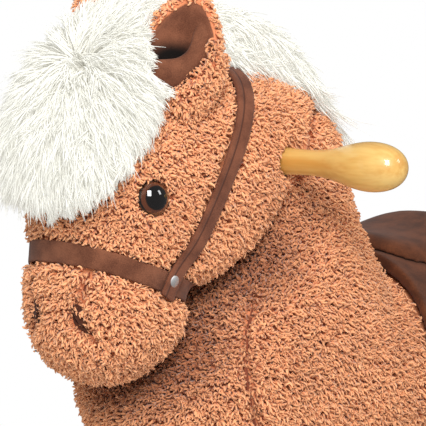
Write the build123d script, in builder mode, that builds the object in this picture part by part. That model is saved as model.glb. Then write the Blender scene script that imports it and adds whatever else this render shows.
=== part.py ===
"""Plush rocking horse on two bowed wooden runners.

Frame: +X is forward (the way the horse looks), +Y is its left, +Z is up, in millimetres.
The origin is on the floor, under the middle of the runners.
"""

import os
from math import copysign, cos, pi, radians, sin, sqrt

from build123d import *

os.makedirs("parts", exist_ok=True)

# Clearances
FIT = 0.1  # round a screw, rod or rivet
SOFT_GAP = 0.3  # between two sewn or stuffed pieces
TAIL_GAP = 0.8  # between the swinging tail and the rump

# Runners and the boards across them
RUNNER_RADIUS = 860.0  # of the edge that rolls on the floor
RUNNER_LENGTH = 660.0
RUNNER_DEPTH = 48.0
RUNNER_THICKNESS = 20.0
RUNNER_SPACING = 230.0  # between the runners' middle planes
RUNNER_END_ROUND = 20.0
RUNNER_EDGE_ROUND = 3.0
BOARD_THICKNESS = 18.0
HOUSING_DEPTH = 4.0  # how deep a board is let into the runners
SLAT_WIDTH = 84.0
SLAT_OVERHANG = 6.0  # past the runners' outer faces
FOOTREST_X = -35.0
FOOTREST_WIDTH = 64.0
FOOTREST_LENGTH = 300.0
BOARD_CORNER = 12.0
SCREW_RADIUS = 2.2
SCREW_HEAD_RADIUS = 4.4
SCREW_LENGTH = 42.0
SCREW_PITCH = 40.0  # between the two screws at one end of a board
SCREW_SINK = 0.4  # a screw head's depth below the wood

# Wooden skeleton
LEG_FRONT_X = 97.0
LEG_REAR_X = -171.0
LEG_SPREAD = 92.0  # between left and right leg axes
POST_RADIUS = 15.0
SEAT_BOARD_Z = 210.0  # its underside
SEAT_BOARD_THICKNESS = 15.0
SEAT_BOARD_WIDTH = 124.0
SEAT_BOARD_MARGIN = 22.0  # past the leg axes, fore and aft
SEAT_BOARD_CORNER = 30.0
NECK_BOARD_THICKNESS = 18.0
NECK_BOARD_WIDTH = 84.0
NECK_BOARD_RISE = 22.0  # above the handle axis
NECK_BOARD_CORNER = 14.0
CLEAT_SIZE = 30.0
BOLT_RADIUS = 4.0
BOLT_HEAD_RADIUS = 8.0
BOLT_HEAD_HEIGHT = 5.0
BOLT_GRIP = 45.0  # length inside the post
WASHER_RADIUS = 12.0
WASHER_THICKNESS = 1.6

# Handle: a steel rod through the neck board with a turned grip on each end
HANDLE_X = 70.0
HANDLE_Z = 415.0
HANDLE_SPAN = 330.0  # from knob end to knob end
GRIP_RADIUS = 12.3
GRIP_WAIST_RADIUS = 11.8
KNOB_RADIUS = 17.8
KNOB_LENGTH = 62.0  # from the waist to the knob's end
ROD_RADIUS = 5.0
ROD_IN_GRIP = 60.0
NUT_RADIUS = 8.5
NUT_THICKNESS = 6.0

# Stuffed forms. Each station is (x, z, tilt, half depth, half width), with x and z measured
# from the handle axis and the tilt giving the direction the section faces, up from +X.
COVER_THICKNESS = 10.0  # plush backing and its pile
FULLNESS = 2.4  # 2 makes oval sections, more makes them squarer
NOSE_X = 131.0
NOSE_Z = -75.0
NOSE_TILT = -70.0
BODY_STATIONS = (
    (-302.0, -160.0, 0.0, 22.0, 22.0),  # rump
    (-294.0, -160.0, 0.0, 50.0, 52.0),
    (-268.0, -162.0, 0.0, 71.0, 75.0),
    (-205.0, -166.0, 0.0, 82.0, 89.0),  # barrel under the saddle
    (-150.0, -167.0, 0.0, 84.0, 93.0),
    (-30.0, -160.0, 51.0, 123.0, 96.0),  # shoulders
    (8.0, -112.0, 60.0, 130.0, 92.0),  # chest to withers
    (-16.0, -46.0, 66.0, 101.0, 60.0),  # root of the neck
    (-26.0, -2.0, 66.0, 72.0, 52.0),
    (-16.0, 24.0, 66.0, 38.0, 34.0),  # top of the neck, inside the head
)
HEAD_STATIONS = (
    (-76.0, 2.0, 25.0, 20.0, 22.0),  # back of the crest
    (-54.0, 4.0, 20.0, 44.0, 44.0),
    (0.0, 4.0, 5.0, 62.0, 60.0),
    (50.0, -6.0, -25.0, 82.0, 65.0),  # poll to throat
    (92.0, -26.0, -45.0, 84.0, 65.0),  # brow and cheeks
    (118.0, -52.0, -60.0, 73.0, 61.0),
    (NOSE_X, NOSE_Z, NOSE_TILT, 59.0, 55.0),  # waist under the noseband
    (135.0, -100.0, -79.0, 56.0, 55.0),  # muzzle
    (137.0, -126.0, -86.0, 47.0, 47.0),
    (138.0, -143.0, -88.0, 30.0, 31.0),
    (139.0, -151.0, -88.0, 13.0, 14.0),  # chin
)

# Legs and hooves
LEG_TOP_DEPTH = 41.0  # half sizes, fore and aft
LEG_TOP_WIDTH = 37.0
LEG_LOW_DEPTH = 32.0
LEG_LOW_WIDTH = 30.0
LEG_TOP_Z = 205.0
HOOF_HEIGHT = 32.0
HOOF_FLARE = 3.0

# Head details, measured from the handle axis
EYE_X = 134.0
EYE_Y = 52.0
EYE_Z = -17.0
EYE_RADIUS = 12.3
EYE_HEIGHT = 7.0
EYE_SINK = 3.0
EYE_SHANK_RADIUS = 2.5
EYE_SHANK_LENGTH = 14.0
EYE_WASHER_RADIUS = 9.0
EYE_WASHER_THICKNESS = 2.0
NOSTRIL_ANGLE = 24.0  # to each side of the face line
NOSTRIL_Z = -98.0
NOSTRIL_WIDTH = 9.0
NOSTRIL_LENGTH = 18.0
NOSTRIL_SINK = 4.0
EAR_X = 110.0
EAR_Y = 42.0
EAR_Z = 56.0
EAR_LENGTH = 72.0
EAR_HALF_WIDTH = 27.0
EAR_HALF_DEPTH = 15.0
EAR_TURN = 48.0  # the way the open side faces, from +X towards the side
EAR_LEAN_OUT = 12.0
EAR_LEAN_BACK = 14.0
EAR_LINING = 2.5
EAR_RIM = 4.0

# Bridle
STRAP_WIDTH = 15.0
STRAP_THICKNESS = 2.5
RIVET_X = 120.0
RIVET_Z = -77.0
HEADSTALL_TILT = 32.0
HEADSTALL_END = 13.0  # past the rivet
RIVET_CAP_RADIUS = 5.0
RIVET_CAP_HEIGHT = 1.6
RIVET_SHANK_RADIUS = 1.8

# Mane, forelock and tail
MANE_STATIONS = (
    (58.0, 80.0, 168.0, 16.0, 16.0),
    (34.0, 80.0, 172.0, 34.0, 28.0),
    (-10.0, 72.0, 190.0, 38.0, 30.0),
    (-52.0, 46.0, 222.0, 38.0, 28.0),
    (-86.0, 6.0, 242.0, 32.0, 22.0),
    (-104.0, -36.0, 250.0, 14.0, 12.0),
)
FORELOCK_STATIONS = (
    (56.0, 78.0, 12.0, 26.0, 30.0),
    (84.0, 74.0, -8.0, 44.0, 50.0),
    (124.0, 52.0, -38.0, 50.0, 57.0),
    (156.0, 16.0, -62.0, 42.0, 54.0),
    (172.0, -16.0, -74.0, 26.0, 44.0),
    (178.0, -34.0, -80.0, 12.0, 26.0),
)
TAIL_STATIONS = (
    (-308.0, -124.0, 250.0, 13.0, 15.0),
    (-318.0, -146.0, 255.0, 20.0, 22.0),
    (-326.0, -190.0, 262.0, 24.0, 27.0),
    (-326.0, -240.0, 272.0, 22.0, 25.0),
    (-322.0, -276.0, 275.0, 10.0, 12.0),
)

# Saddle
SADDLE_FRONT = -128.0
SADDLE_REAR = -262.0
SADDLE_FLAP_Z = -172.0
SADDLE_CORNER = 28.0
GIRTH_X = -178.0
GIRTH_WIDTH = 28.0
SADDLE_STATIONS = (
    (-262.0, -162.5, 0.0, 78.0, 83.0),
    (-205.0, -166.0, 0.0, 87.0, 94.0),
    (-150.0, -167.0, 0.0, 89.0, 98.0),
    (-128.0, -167.0, 0.0, 91.0, 100.0),
)
CUSHION_STATIONS = (
    (-258.0, -86.0, 0.0, 10.0, 30.0),
    (-250.0, -84.0, 0.0, 24.0, 52.0),
    (-226.0, -88.0, 0.0, 24.0, 62.0),
    (-190.0, -92.0, 0.0, 22.0, 64.0),
    (-154.0, -90.0, 0.0, 22.0, 58.0),
    (-138.0, -86.0, 0.0, 19.0, 44.0),
    (-131.0, -86.0, 0.0, 9.0, 26.0),
)

SIDES = {"left": 1, "right": -1}


# Helpers


def section_plane(x, z, tilt):
    """A plane across the horse, its local x along +Y and its normal tilted up from +X."""
    return Plane(
        origin=(HANDLE_X + x, 0, HANDLE_Z + z),
        x_dir=(0, 1, 0),
        z_dir=(cos(radians(tilt)), 0, sin(radians(tilt))),
    )


def oval_points(half_width, half_depth, count=16):
    """Points round a rounded section, from a superellipse."""
    points = []
    for step in range(count):
        angle = 2 * pi * step / count
        across = copysign(abs(cos(angle)) ** (2 / FULLNESS), cos(angle))
        along = copysign(abs(sin(angle)) ** (2 / FULLNESS), sin(angle))
        points.append((half_width * across, half_depth * along))
    return points


def oval_loft(sections):
    """A smooth solid through sections, each a plane with a half width and a half depth."""
    with BuildPart() as form:
        for plane, half_width, half_depth in sections:
            with BuildSketch(plane):
                with BuildLine():
                    Spline(*oval_points(half_width, half_depth), periodic=True)
                make_face()
        loft()
    return form.part


def stuffed_form(stations, grow=0.0):
    """The loft of a station list, grown or shrunk all round by the same amount.

    The end sections move along their own normals by that amount, and their neighbours by half of it.
    """
    shifts = [grow, grow / 2] + [0.0] * (len(stations) - 4) + [grow / 2, grow]
    outwards = [-1] * 2 + [1] * (len(stations) - 2)
    sections = []
    for station, shift, way in zip(stations, shifts, outwards):
        x, z, tilt, half_depth, half_width = station
        plane = section_plane(x, z, tilt).offset(way * shift)
        sections.append((plane, half_width + grow, half_depth + grow))
    return oval_loft(sections)


def body_form(grow=0.0):
    return stuffed_form(BODY_STATIONS, grow)


def head_form(grow=0.0):
    return stuffed_form(HEAD_STATIONS, grow)


def seat_on(form, start, direction):
    """The plane that lies on a form where a line leaves it, facing outwards."""
    line = Axis((HANDLE_X + start[0], start[1], HANDLE_Z + start[2]), direction)
    hits = []
    for face in form.faces():
        hits += face.find_intersection_points(line)
    point, normal = max(hits, key=lambda hit: (hit[0] - line.position).dot(line.direction))
    outwards = normal if normal.dot(line.direction) > 0 else -normal
    return Plane(origin=point, z_dir=outwards)


def runner_top(x):
    """Height of a runner's upper edge."""
    return RUNNER_RADIUS - sqrt((RUNNER_RADIUS - RUNNER_DEPTH) ** 2 - x**2)


def seat_height(x, width):
    """Height of the level housing that a board of this width rests in."""
    nearest = max(abs(x) - width / 2, 0)
    return runner_top(nearest) - HOUSING_DEPTH


def finish(part, name):
    part.label = name
    export_step(part, f"parts/{name}.step")


# Base: runners, slats and footrest

BOARDS = {
    "front_slat": (LEG_FRONT_X, SLAT_WIDTH, RUNNER_SPACING + RUNNER_THICKNESS + 2 * SLAT_OVERHANG),
    "rear_slat": (LEG_REAR_X, SLAT_WIDTH, RUNNER_SPACING + RUNNER_THICKNESS + 2 * SLAT_OVERHANG),
    "footrest_board": (FOOTREST_X, FOOTREST_WIDTH, FOOTREST_LENGTH),
}


def board_top(name):
    x, width, length = BOARDS[name]
    return seat_height(x, width) + BOARD_THICKNESS


def board_screw_places(name):
    """Where the screws enter one board, on its upper face."""
    x, width, length = BOARDS[name]
    places = []
    for side in SIDES.values():
        for step in (-1, 1):
            places.append((x + step * SCREW_PITCH / 2, side * RUNNER_SPACING / 2, board_top(name)))
    return places


def make_runner(side):
    with BuildPart() as runner:
        with BuildSketch(Plane.XZ.offset(-side * RUNNER_SPACING / 2)):
            with Locations((0, RUNNER_RADIUS)):
                Circle(RUNNER_RADIUS)
                Circle(RUNNER_RADIUS - RUNNER_DEPTH, mode=Mode.SUBTRACT)
            with Locations((0, RUNNER_RADIUS / 4)):
                Rectangle(RUNNER_LENGTH, RUNNER_RADIUS / 2, mode=Mode.INTERSECT)
        extrude(amount=RUNNER_THICKNESS / 2, both=True)
        fillet(runner.edges().filter_by(Axis.Y), RUNNER_END_ROUND)
        arcs = runner.edges().filter_by(GeomType.CIRCLE)
        rolling = arcs.filter_by(lambda arc: arc.radius > RUNNER_RADIUS / 2)
        fillet(rolling, RUNNER_EDGE_ROUND)
        for name, (x, width, length) in BOARDS.items():
            with Locations((x, side * RUNNER_SPACING / 2, seat_height(x, width))):
                Box(
                    width,
                    2 * RUNNER_THICKNESS,
                    RUNNER_DEPTH,
                    align=(Align.CENTER, Align.CENTER, Align.MIN),
                    mode=Mode.SUBTRACT,
                )
            for place in board_screw_places(name):
                with Locations(place):
                    Cylinder(
                        SCREW_RADIUS + FIT,
                        SCREW_LENGTH + FIT,
                        align=(Align.CENTER, Align.CENTER, Align.MAX),
                        mode=Mode.SUBTRACT,
                    )
    return runner.part


def make_board(name):
    x, width, length = BOARDS[name]
    with BuildPart() as board:
        with BuildSketch(Plane.XY.offset(seat_height(x, width))):
            with Locations((x, 0)):
                RectangleRounded(width, length, BOARD_CORNER)
        extrude(amount=BOARD_THICKNESS)
        upper = board.faces().sort_by(Axis.Z)[-1]
        chamfer(upper.edges(), SCREW_SINK * 2)
        for place in board_screw_places(name):
            with Locations(place):
                CounterSinkHole(SCREW_RADIUS + FIT, SCREW_HEAD_RADIUS + SCREW_SINK + FIT, counter_sink_angle=90)
        if name != "footrest_board":
            for side in SIDES.values():
                with Locations((x, side * LEG_SPREAD / 2, board_top(name))):
                    Hole(BOLT_RADIUS + FIT)
    return board.part


for side_name, side in SIDES.items():
    finish(make_runner(side), f"runner_{side_name}")

for board_name in BOARDS:
    finish(make_board(board_name), board_name)


def countersunk_screws(places):
    """Screws pointing down, with their heads just under the faces they enter."""
    with BuildPart() as screws:
        for x, y, z in places:
            with Locations((x, y, z - SCREW_SINK)):
                Cylinder(SCREW_RADIUS, SCREW_LENGTH - SCREW_SINK, align=(Align.CENTER, Align.CENTER, Align.MAX))
                Cone(
                    SCREW_RADIUS,
                    SCREW_HEAD_RADIUS,
                    SCREW_HEAD_RADIUS - SCREW_RADIUS,
                    align=(Align.CENTER, Align.CENTER, Align.MAX),
                )
    return screws.part


all_board_screws = []
for board_name in BOARDS:
    all_board_screws += board_screw_places(board_name)
finish(countersunk_screws(all_board_screws), "board_screws")


# Wooden skeleton: leg posts, seat board, neck board and its cleats

LEGS = {
    "front_left": (LEG_FRONT_X, LEG_SPREAD / 2, board_top("front_slat")),
    "front_right": (LEG_FRONT_X, -LEG_SPREAD / 2, board_top("front_slat")),
    "rear_left": (LEG_REAR_X, LEG_SPREAD / 2, board_top("rear_slat")),
    "rear_right": (LEG_REAR_X, -LEG_SPREAD / 2, board_top("rear_slat")),
}
SEAT_BOARD_TOP = SEAT_BOARD_Z + SEAT_BOARD_THICKNESS
SEAT_BOARD_LENGTH = LEG_FRONT_X - LEG_REAR_X + 2 * SEAT_BOARD_MARGIN
SEAT_BOARD_X = (LEG_FRONT_X + LEG_REAR_X) / 2
NECK_BOARD_TOP = HANDLE_Z + NECK_BOARD_RISE


def make_post(x, y, floor):
    with BuildPart() as post:
        with Locations((x, y, floor)):
            Cylinder(POST_RADIUS, SEAT_BOARD_Z - floor, align=(Align.CENTER, Align.CENTER, Align.MIN))
            Cylinder(
                BOLT_RADIUS + FIT,
                BOLT_GRIP + FIT,
                align=(Align.CENTER, Align.CENTER, Align.MIN),
                mode=Mode.SUBTRACT,
            )
        with Locations((x, y, SEAT_BOARD_TOP)):
            Cylinder(
                SCREW_RADIUS + FIT,
                SCREW_LENGTH + FIT,
                align=(Align.CENTER, Align.CENTER, Align.MAX),
                mode=Mode.SUBTRACT,
            )
    return post.part


for leg_name, (x, y, floor) in LEGS.items():
    finish(make_post(x, y, floor), f"post_{leg_name}")

with BuildPart() as seat_board:
    with BuildSketch(Plane.XY.offset(SEAT_BOARD_Z)):
        with Locations((SEAT_BOARD_X, 0)):
            RectangleRounded(SEAT_BOARD_LENGTH, SEAT_BOARD_WIDTH, SEAT_BOARD_CORNER)
    extrude(amount=SEAT_BOARD_THICKNESS)
    for x, y, floor in LEGS.values():
        with Locations((x, y, SEAT_BOARD_TOP)):
            CounterSinkHole(SCREW_RADIUS + FIT, SCREW_HEAD_RADIUS + SCREW_SINK + FIT, counter_sink_angle=90)
    for side in SIDES.values():
        with Locations((HANDLE_X, side * (NECK_BOARD_THICKNESS + CLEAT_SIZE) / 2, SEAT_BOARD_TOP)):
            Hole(SCREW_RADIUS + FIT)
finish(seat_board.part, "seat_board")

seat_screw_places = [(x, y, SEAT_BOARD_TOP) for x, y, floor in LEGS.values()]
finish(countersunk_screws(seat_screw_places), "seat_board_screws")

with BuildPart() as neck_board:
    with BuildSketch(Plane.XZ):
        with Locations((HANDLE_X, (SEAT_BOARD_TOP + NECK_BOARD_TOP) / 2)):
            Rectangle(NECK_BOARD_WIDTH, NECK_BOARD_TOP - SEAT_BOARD_TOP)
    extrude(amount=NECK_BOARD_THICKNESS / 2, both=True)
    upper_corners = neck_board.edges().filter_by(Axis.Y).group_by(Axis.Z)[-1]
    fillet(upper_corners, NECK_BOARD_CORNER)
    with Locations(Plane.XZ.offset(-NECK_BOARD_THICKNESS / 2)):
        with Locations((HANDLE_X, HANDLE_Z)):
            Cylinder(ROD_RADIUS + FIT, 4 * NECK_BOARD_THICKNESS, mode=Mode.SUBTRACT)
finish(neck_board.part, "neck_board")

with BuildPart() as neck_cleats:
    for side in SIDES.values():
        with Locations((HANDLE_X, side * (NECK_BOARD_THICKNESS + CLEAT_SIZE) / 2, SEAT_BOARD_TOP)):
            Box(NECK_BOARD_WIDTH, CLEAT_SIZE, CLEAT_SIZE, align=(Align.CENTER, Align.CENTER, Align.MIN))
            Cylinder(
                SCREW_RADIUS + FIT,
                2 * CLEAT_SIZE,
                mode=Mode.SUBTRACT,
            )
finish(neck_cleats.part, "neck_cleats")

cleat_screw_length = CLEAT_SIZE * 0.8
with BuildPart() as cleat_screws:
    for side in SIDES.values():
        with Locations((HANDLE_X, side * (NECK_BOARD_THICKNESS + CLEAT_SIZE) / 2, SEAT_BOARD_Z)):
            Cylinder(SCREW_RADIUS, cleat_screw_length, align=(Align.CENTER, Align.CENTER, Align.MIN))
            Cylinder(SCREW_HEAD_RADIUS, SCREW_RADIUS, align=(Align.CENTER, Align.CENTER, Align.MAX))
finish(cleat_screws.part, "cleat_screws")

with BuildPart() as leg_bolts:
    for x, y, floor in LEGS.values():
        under = floor - BOARD_THICKNESS - WASHER_THICKNESS
        with Locations((x, y, under)):
            Cylinder(BOLT_HEAD_RADIUS, BOLT_HEAD_HEIGHT, align=(Align.CENTER, Align.CENTER, Align.MAX))
            Cylinder(
                BOLT_RADIUS,
                WASHER_THICKNESS + BOARD_THICKNESS + BOLT_GRIP,
                align=(Align.CENTER, Align.CENTER, Align.MIN),
            )
finish(leg_bolts.part, "leg_bolts")

with BuildPart() as leg_washers:
    for x, y, floor in LEGS.values():
        with Locations((x, y, floor - BOARD_THICKNESS)):
            Cylinder(WASHER_RADIUS, WASHER_THICKNESS, align=(Align.CENTER, Align.CENTER, Align.MAX))
            Cylinder(BOLT_RADIUS + FIT, 4 * WASHER_THICKNESS, mode=Mode.SUBTRACT)
finish(leg_washers.part, "leg_washers")


# Handle: rod, nuts and turned grips

HANDLE_AXIS_PLANE = Plane(origin=(HANDLE_X, 0, HANDLE_Z), x_dir=(1, 0, 0), z_dir=(0, 1, 0))
GRIP_START = NECK_BOARD_THICKNESS / 2 + NUT_THICKNESS
GRIP_END = HANDLE_SPAN / 2
WAIST = GRIP_END - KNOB_LENGTH
KNOB_CREST = GRIP_END - KNOB_RADIUS * 1.35

with BuildPart(HANDLE_AXIS_PLANE) as handle_rod:
    Cylinder(ROD_RADIUS, 2 * (GRIP_START + ROD_IN_GRIP))
finish(handle_rod.part, "handle_rod")

with BuildPart() as rod_nuts:
    for side in SIDES.values():
        with BuildSketch(HANDLE_AXIS_PLANE.offset(side * (GRIP_START - NUT_THICKNESS / 2))):
            RegularPolygon(NUT_RADIUS, 6)
            Circle(ROD_RADIUS + FIT, mode=Mode.SUBTRACT)
        extrude(amount=NUT_THICKNESS / 2, both=True)
finish(rod_nuts.part, "rod_nuts")


def make_grip(side):
    """A turned grip: a straight shank, a slim waist and a round knob, bored for the rod."""
    turning = Plane(origin=(HANDLE_X, 0, HANDLE_Z), x_dir=(0, side, 0), z_dir=(-side, 0, 0))
    with BuildPart() as grip:
        with BuildSketch(turning):
            with BuildLine():
                Polyline((GRIP_START, GRIP_RADIUS), (GRIP_START, 0), (GRIP_END, 0))
                Spline(
                    (GRIP_START, GRIP_RADIUS),
                    (WAIST, GRIP_WAIST_RADIUS),
                    (KNOB_CREST, KNOB_RADIUS),
                    (GRIP_END, 0),
                    tangents=((1, 0), (0, -1)),
                )
            make_face()
        revolve(axis=Axis((HANDLE_X, 0, HANDLE_Z), (0, 1, 0)))
        with BuildSketch(HANDLE_AXIS_PLANE.offset(side * GRIP_START)):
            Circle(ROD_RADIUS + FIT)
        extrude(amount=side * (ROD_IN_GRIP + FIT), mode=Mode.SUBTRACT)
    return grip.part


for side_name, side in SIDES.items():
    finish(make_grip(side), f"handle_grip_{side_name}")


def grip_bores():
    """The way through the stuffed forms for both grips."""
    with BuildPart(HANDLE_AXIS_PLANE) as bores:
        Cylinder(GRIP_RADIUS + SOFT_GAP, HANDLE_SPAN)
    return bores.part


# Room that the skeleton and the grips take inside the stuffed forms


def skeleton_room():
    """Everything of the skeleton that stands inside the stuffed forms."""
    with BuildPart() as room:
        with BuildSketch(Plane.XY.offset(SEAT_BOARD_Z)):
            with Locations((SEAT_BOARD_X, 0)):
                RectangleRounded(SEAT_BOARD_LENGTH, SEAT_BOARD_WIDTH, SEAT_BOARD_CORNER)
        extrude(amount=SEAT_BOARD_THICKNESS)
        for x, y, floor in LEGS.values():
            with Locations((x, y, floor)):
                Cylinder(POST_RADIUS, SEAT_BOARD_Z - floor, align=(Align.CENTER, Align.CENTER, Align.MIN))
        with Locations((HANDLE_X, 0, SEAT_BOARD_TOP)):
            Box(
                NECK_BOARD_WIDTH,
                NECK_BOARD_THICKNESS,
                NECK_BOARD_TOP - SEAT_BOARD_TOP,
                align=(Align.CENTER, Align.CENTER, Align.MIN),
            )
            Box(
                NECK_BOARD_WIDTH,
                NECK_BOARD_THICKNESS + 2 * CLEAT_SIZE,
                CLEAT_SIZE,
                align=(Align.CENTER, Align.CENTER, Align.MIN),
            )
        with Locations((HANDLE_X, 0, SEAT_BOARD_Z)):
            Box(
                2 * SCREW_HEAD_RADIUS,
                NECK_BOARD_THICKNESS + CLEAT_SIZE + 2 * SCREW_HEAD_RADIUS,
                SCREW_RADIUS,
                align=(Align.CENTER, Align.CENTER, Align.MAX),
            )
    return room.part


skeleton = skeleton_room()
bores = grip_bores()

body_outside = body_form(SOFT_GAP)


# Legs with velour hooves


def leg_form(x, y, floor):
    foot = floor + HOOF_HEIGHT
    middle = (foot + LEG_TOP_Z) / 2
    sections = []
    for z, share in ((foot, 0.0), (middle, 0.35), (LEG_TOP_Z, 1.0)):
        half_depth = LEG_LOW_DEPTH + share * (LEG_TOP_DEPTH - LEG_LOW_DEPTH)
        half_width = LEG_LOW_WIDTH + share * (LEG_TOP_WIDTH - LEG_LOW_WIDTH)
        plane = Plane(origin=(x, y, z), x_dir=(0, 1, 0), z_dir=(0, 0, 1))
        sections.append((plane, half_width, half_depth))
    return oval_loft(sections)


def make_hoof(x, y, floor):
    with BuildPart() as hoof:
        base = Plane(origin=(x, y, floor), x_dir=(0, 1, 0), z_dir=(0, 0, 1))
        add(
            oval_loft(
                (
                    (base, LEG_LOW_WIDTH + HOOF_FLARE, LEG_LOW_DEPTH + HOOF_FLARE),
                    (base.offset(HOOF_HEIGHT), LEG_LOW_WIDTH, LEG_LOW_DEPTH),
                )
            )
        )
        with Locations((x, y, floor)):
            Cylinder(POST_RADIUS + SOFT_GAP, 4 * HOOF_HEIGHT, mode=Mode.SUBTRACT)
    return hoof.part


for leg_name, (x, y, floor) in LEGS.items():
    with BuildPart() as stuffed_leg:
        add(leg_form(x, y, floor))
        add(body_outside, mode=Mode.SUBTRACT)
        with Locations((x, y, floor)):
            Cylinder(POST_RADIUS + SOFT_GAP, 4 * LEG_TOP_Z, mode=Mode.SUBTRACT)
    finish(stuffed_leg.part, f"stuffed_leg_{leg_name}")
    finish(make_hoof(x, y, floor), f"hoof_{leg_name}")


# Bridle: straps cut from the head's own surface

head_surface = head_form()
RIVET_ON_NOSE = (RIVET_X - NOSE_X) * -sin(radians(NOSE_TILT)) + (RIVET_Z - NOSE_Z) * cos(radians(NOSE_TILT))
REACH = 200.0  # longer than any strap's way across the head


def nose_ring(low, high, width, outer, inner):
    """A band round the muzzle between two heights of the noseband's plane."""
    with BuildPart() as ring:
        with BuildSketch(section_plane(NOSE_X, NOSE_Z, NOSE_TILT)):
            with Locations((0, (low + high) / 2)):
                Rectangle(2 * REACH, high - low)
        extrude(amount=width / 2, both=True)
        add(head_form(outer), mode=Mode.INTERSECT)
        add(head_form(inner), mode=Mode.SUBTRACT)
    return ring.part


strap_outside = head_form(2 * SOFT_GAP + STRAP_THICKNESS)
rivet_planes = {}
for side_name, side in SIDES.items():
    rivet_planes[side_name] = seat_on(strap_outside, (RIVET_X, 0, RIVET_Z), (0, side, 0))


def rivet_holes(radius, depth):
    with BuildPart() as holes:
        for plane in rivet_planes.values():
            with BuildSketch(plane.offset(RIVET_CAP_HEIGHT)):
                Circle(radius)
            extrude(amount=-depth - RIVET_CAP_HEIGHT)
    return holes.part


RIVET_DEPTH = 3 * STRAP_THICKNESS
shank_way = rivet_holes(RIVET_SHANK_RADIUS + FIT, RIVET_DEPTH + FIT)

with BuildPart() as noseband:
    add(nose_ring(RIVET_ON_NOSE + SOFT_GAP / 2, REACH, STRAP_WIDTH, 0.0, -STRAP_THICKNESS))
    add(shank_way, mode=Mode.SUBTRACT)
finish(noseband.part, "noseband")

with BuildPart() as chin_strap:
    add(nose_ring(-REACH, RIVET_ON_NOSE - SOFT_GAP / 2, STRAP_WIDTH, 0.0, -STRAP_THICKNESS))
    add(shank_way, mode=Mode.SUBTRACT)
finish(chin_strap.part, "chin_strap")

with BuildPart() as headstall:
    with BuildSketch(section_plane(RIVET_X, RIVET_Z, HEADSTALL_TILT)):
        with Locations((0, -HEADSTALL_END)):
            Rectangle(2 * REACH, 2 * REACH, align=(Align.CENTER, Align.MIN))
    extrude(amount=STRAP_WIDTH / 2, both=True)
    add(head_form(SOFT_GAP + STRAP_THICKNESS), mode=Mode.INTERSECT)
    add(head_form(SOFT_GAP), mode=Mode.SUBTRACT)
    add(shank_way, mode=Mode.SUBTRACT)
finish(headstall.part, "headstall")

with BuildPart() as bridle_rivets:
    for plane in rivet_planes.values():
        with BuildSketch(plane):
            Circle(RIVET_CAP_RADIUS)
        extrude(amount=RIVET_CAP_HEIGHT, taper=25)
        with BuildSketch(plane):
            Circle(RIVET_SHANK_RADIUS)
        extrude(amount=-RIVET_DEPTH)
finish(bridle_rivets.part, "bridle_rivets")


# Eyes, nostrils and ears

eye_planes = {}
nostril_planes = {}
for side_name, side in SIDES.items():
    eye_planes[side_name] = seat_on(head_surface, (EYE_X - EYE_Y, 0, EYE_Z), (1, side, 0))
    nostril_way = (cos(radians(NOSTRIL_ANGLE)), side * sin(radians(NOSTRIL_ANGLE)), 0)
    nostril_planes[side_name] = seat_on(head_surface, (NOSE_X, 0, NOSTRIL_Z), nostril_way)

EYE_BACK = -EYE_SINK
WASHER_FACE = -COVER_THICKNESS - SOFT_GAP


def make_eye(plane):
    with BuildPart() as eye:
        turning = Plane(origin=plane.origin, x_dir=plane.x_dir, z_dir=-plane.y_dir)
        with BuildSketch(turning):
            with BuildLine():
                Line((0, EYE_BACK), (EYE_RADIUS, EYE_BACK))
                TangentArc((0, EYE_BACK + EYE_HEIGHT), (EYE_RADIUS, EYE_BACK), tangent=(1, 0))
                Line((0, EYE_BACK + EYE_HEIGHT), (0, EYE_BACK))
            make_face()
        revolve(axis=Axis(plane.origin, plane.z_dir))
        with BuildSketch(plane.offset(EYE_BACK)):
            Circle(EYE_SHANK_RADIUS)
        extrude(amount=-EYE_SHANK_LENGTH)
    return eye.part


for side_name, plane in eye_planes.items():
    finish(make_eye(plane), f"eye_{side_name}")

with BuildPart() as eye_washers:
    for plane in eye_planes.values():
        with BuildSketch(plane.offset(WASHER_FACE)):
            Circle(EYE_WASHER_RADIUS)
            Circle(EYE_SHANK_RADIUS + FIT, mode=Mode.SUBTRACT)
        extrude(amount=-EYE_WASHER_THICKNESS)
finish(eye_washers.part, "eye_washers")

with BuildPart() as eye_room:
    for plane in eye_planes.values():
        with BuildSketch(plane.offset(EYE_BACK)):
            Circle(EYE_RADIUS + FIT)
        extrude(amount=4 * EYE_SINK)
        with BuildSketch(plane.offset(EYE_BACK)):
            Circle(EYE_SHANK_RADIUS + FIT)
        extrude(amount=-EYE_SHANK_LENGTH - FIT)
        with BuildSketch(plane.offset(WASHER_FACE)):
            Circle(EYE_WASHER_RADIUS + FIT)
        extrude(amount=-EYE_WASHER_THICKNESS - FIT)


def nostril_patches(sink, margin):
    with BuildPart() as patches:
        for side_name, plane in nostril_planes.items():
            upright = Plane(origin=plane.origin, x_dir=(0, 0, 1), z_dir=plane.z_dir)
            with BuildSketch(upright.offset(-sink)):
                SlotOverall(NOSTRIL_LENGTH + margin, NOSTRIL_WIDTH + margin, rotation=35 * SIDES[side_name])
            extrude(amount=sink + NOSTRIL_WIDTH)
    return patches.part


with BuildPart() as nostrils:
    add(nostril_patches(NOSTRIL_SINK, 0))
    add(head_form(-NOSTRIL_SINK / 2), mode=Mode.INTERSECT)
finish(nostrils.part, "nostrils")


def ear_plane(side):
    turn = radians(EAR_TURN)
    facing = Vector(cos(turn), side * sin(turn), 0)
    base = Plane(
        origin=(HANDLE_X + EAR_X, side * EAR_Y, HANDLE_Z + EAR_Z),
        x_dir=facing.cross(Vector(0, 0, 1)),
        z_dir=(0, 0, 1),
    )
    leaning = Vector(-sin(radians(EAR_LEAN_BACK)), side * sin(radians(EAR_LEAN_OUT)), 1).normalized()
    return Plane(origin=base.origin, x_dir=base.x_dir - leaning * base.x_dir.dot(leaning), z_dir=leaning)


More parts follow.
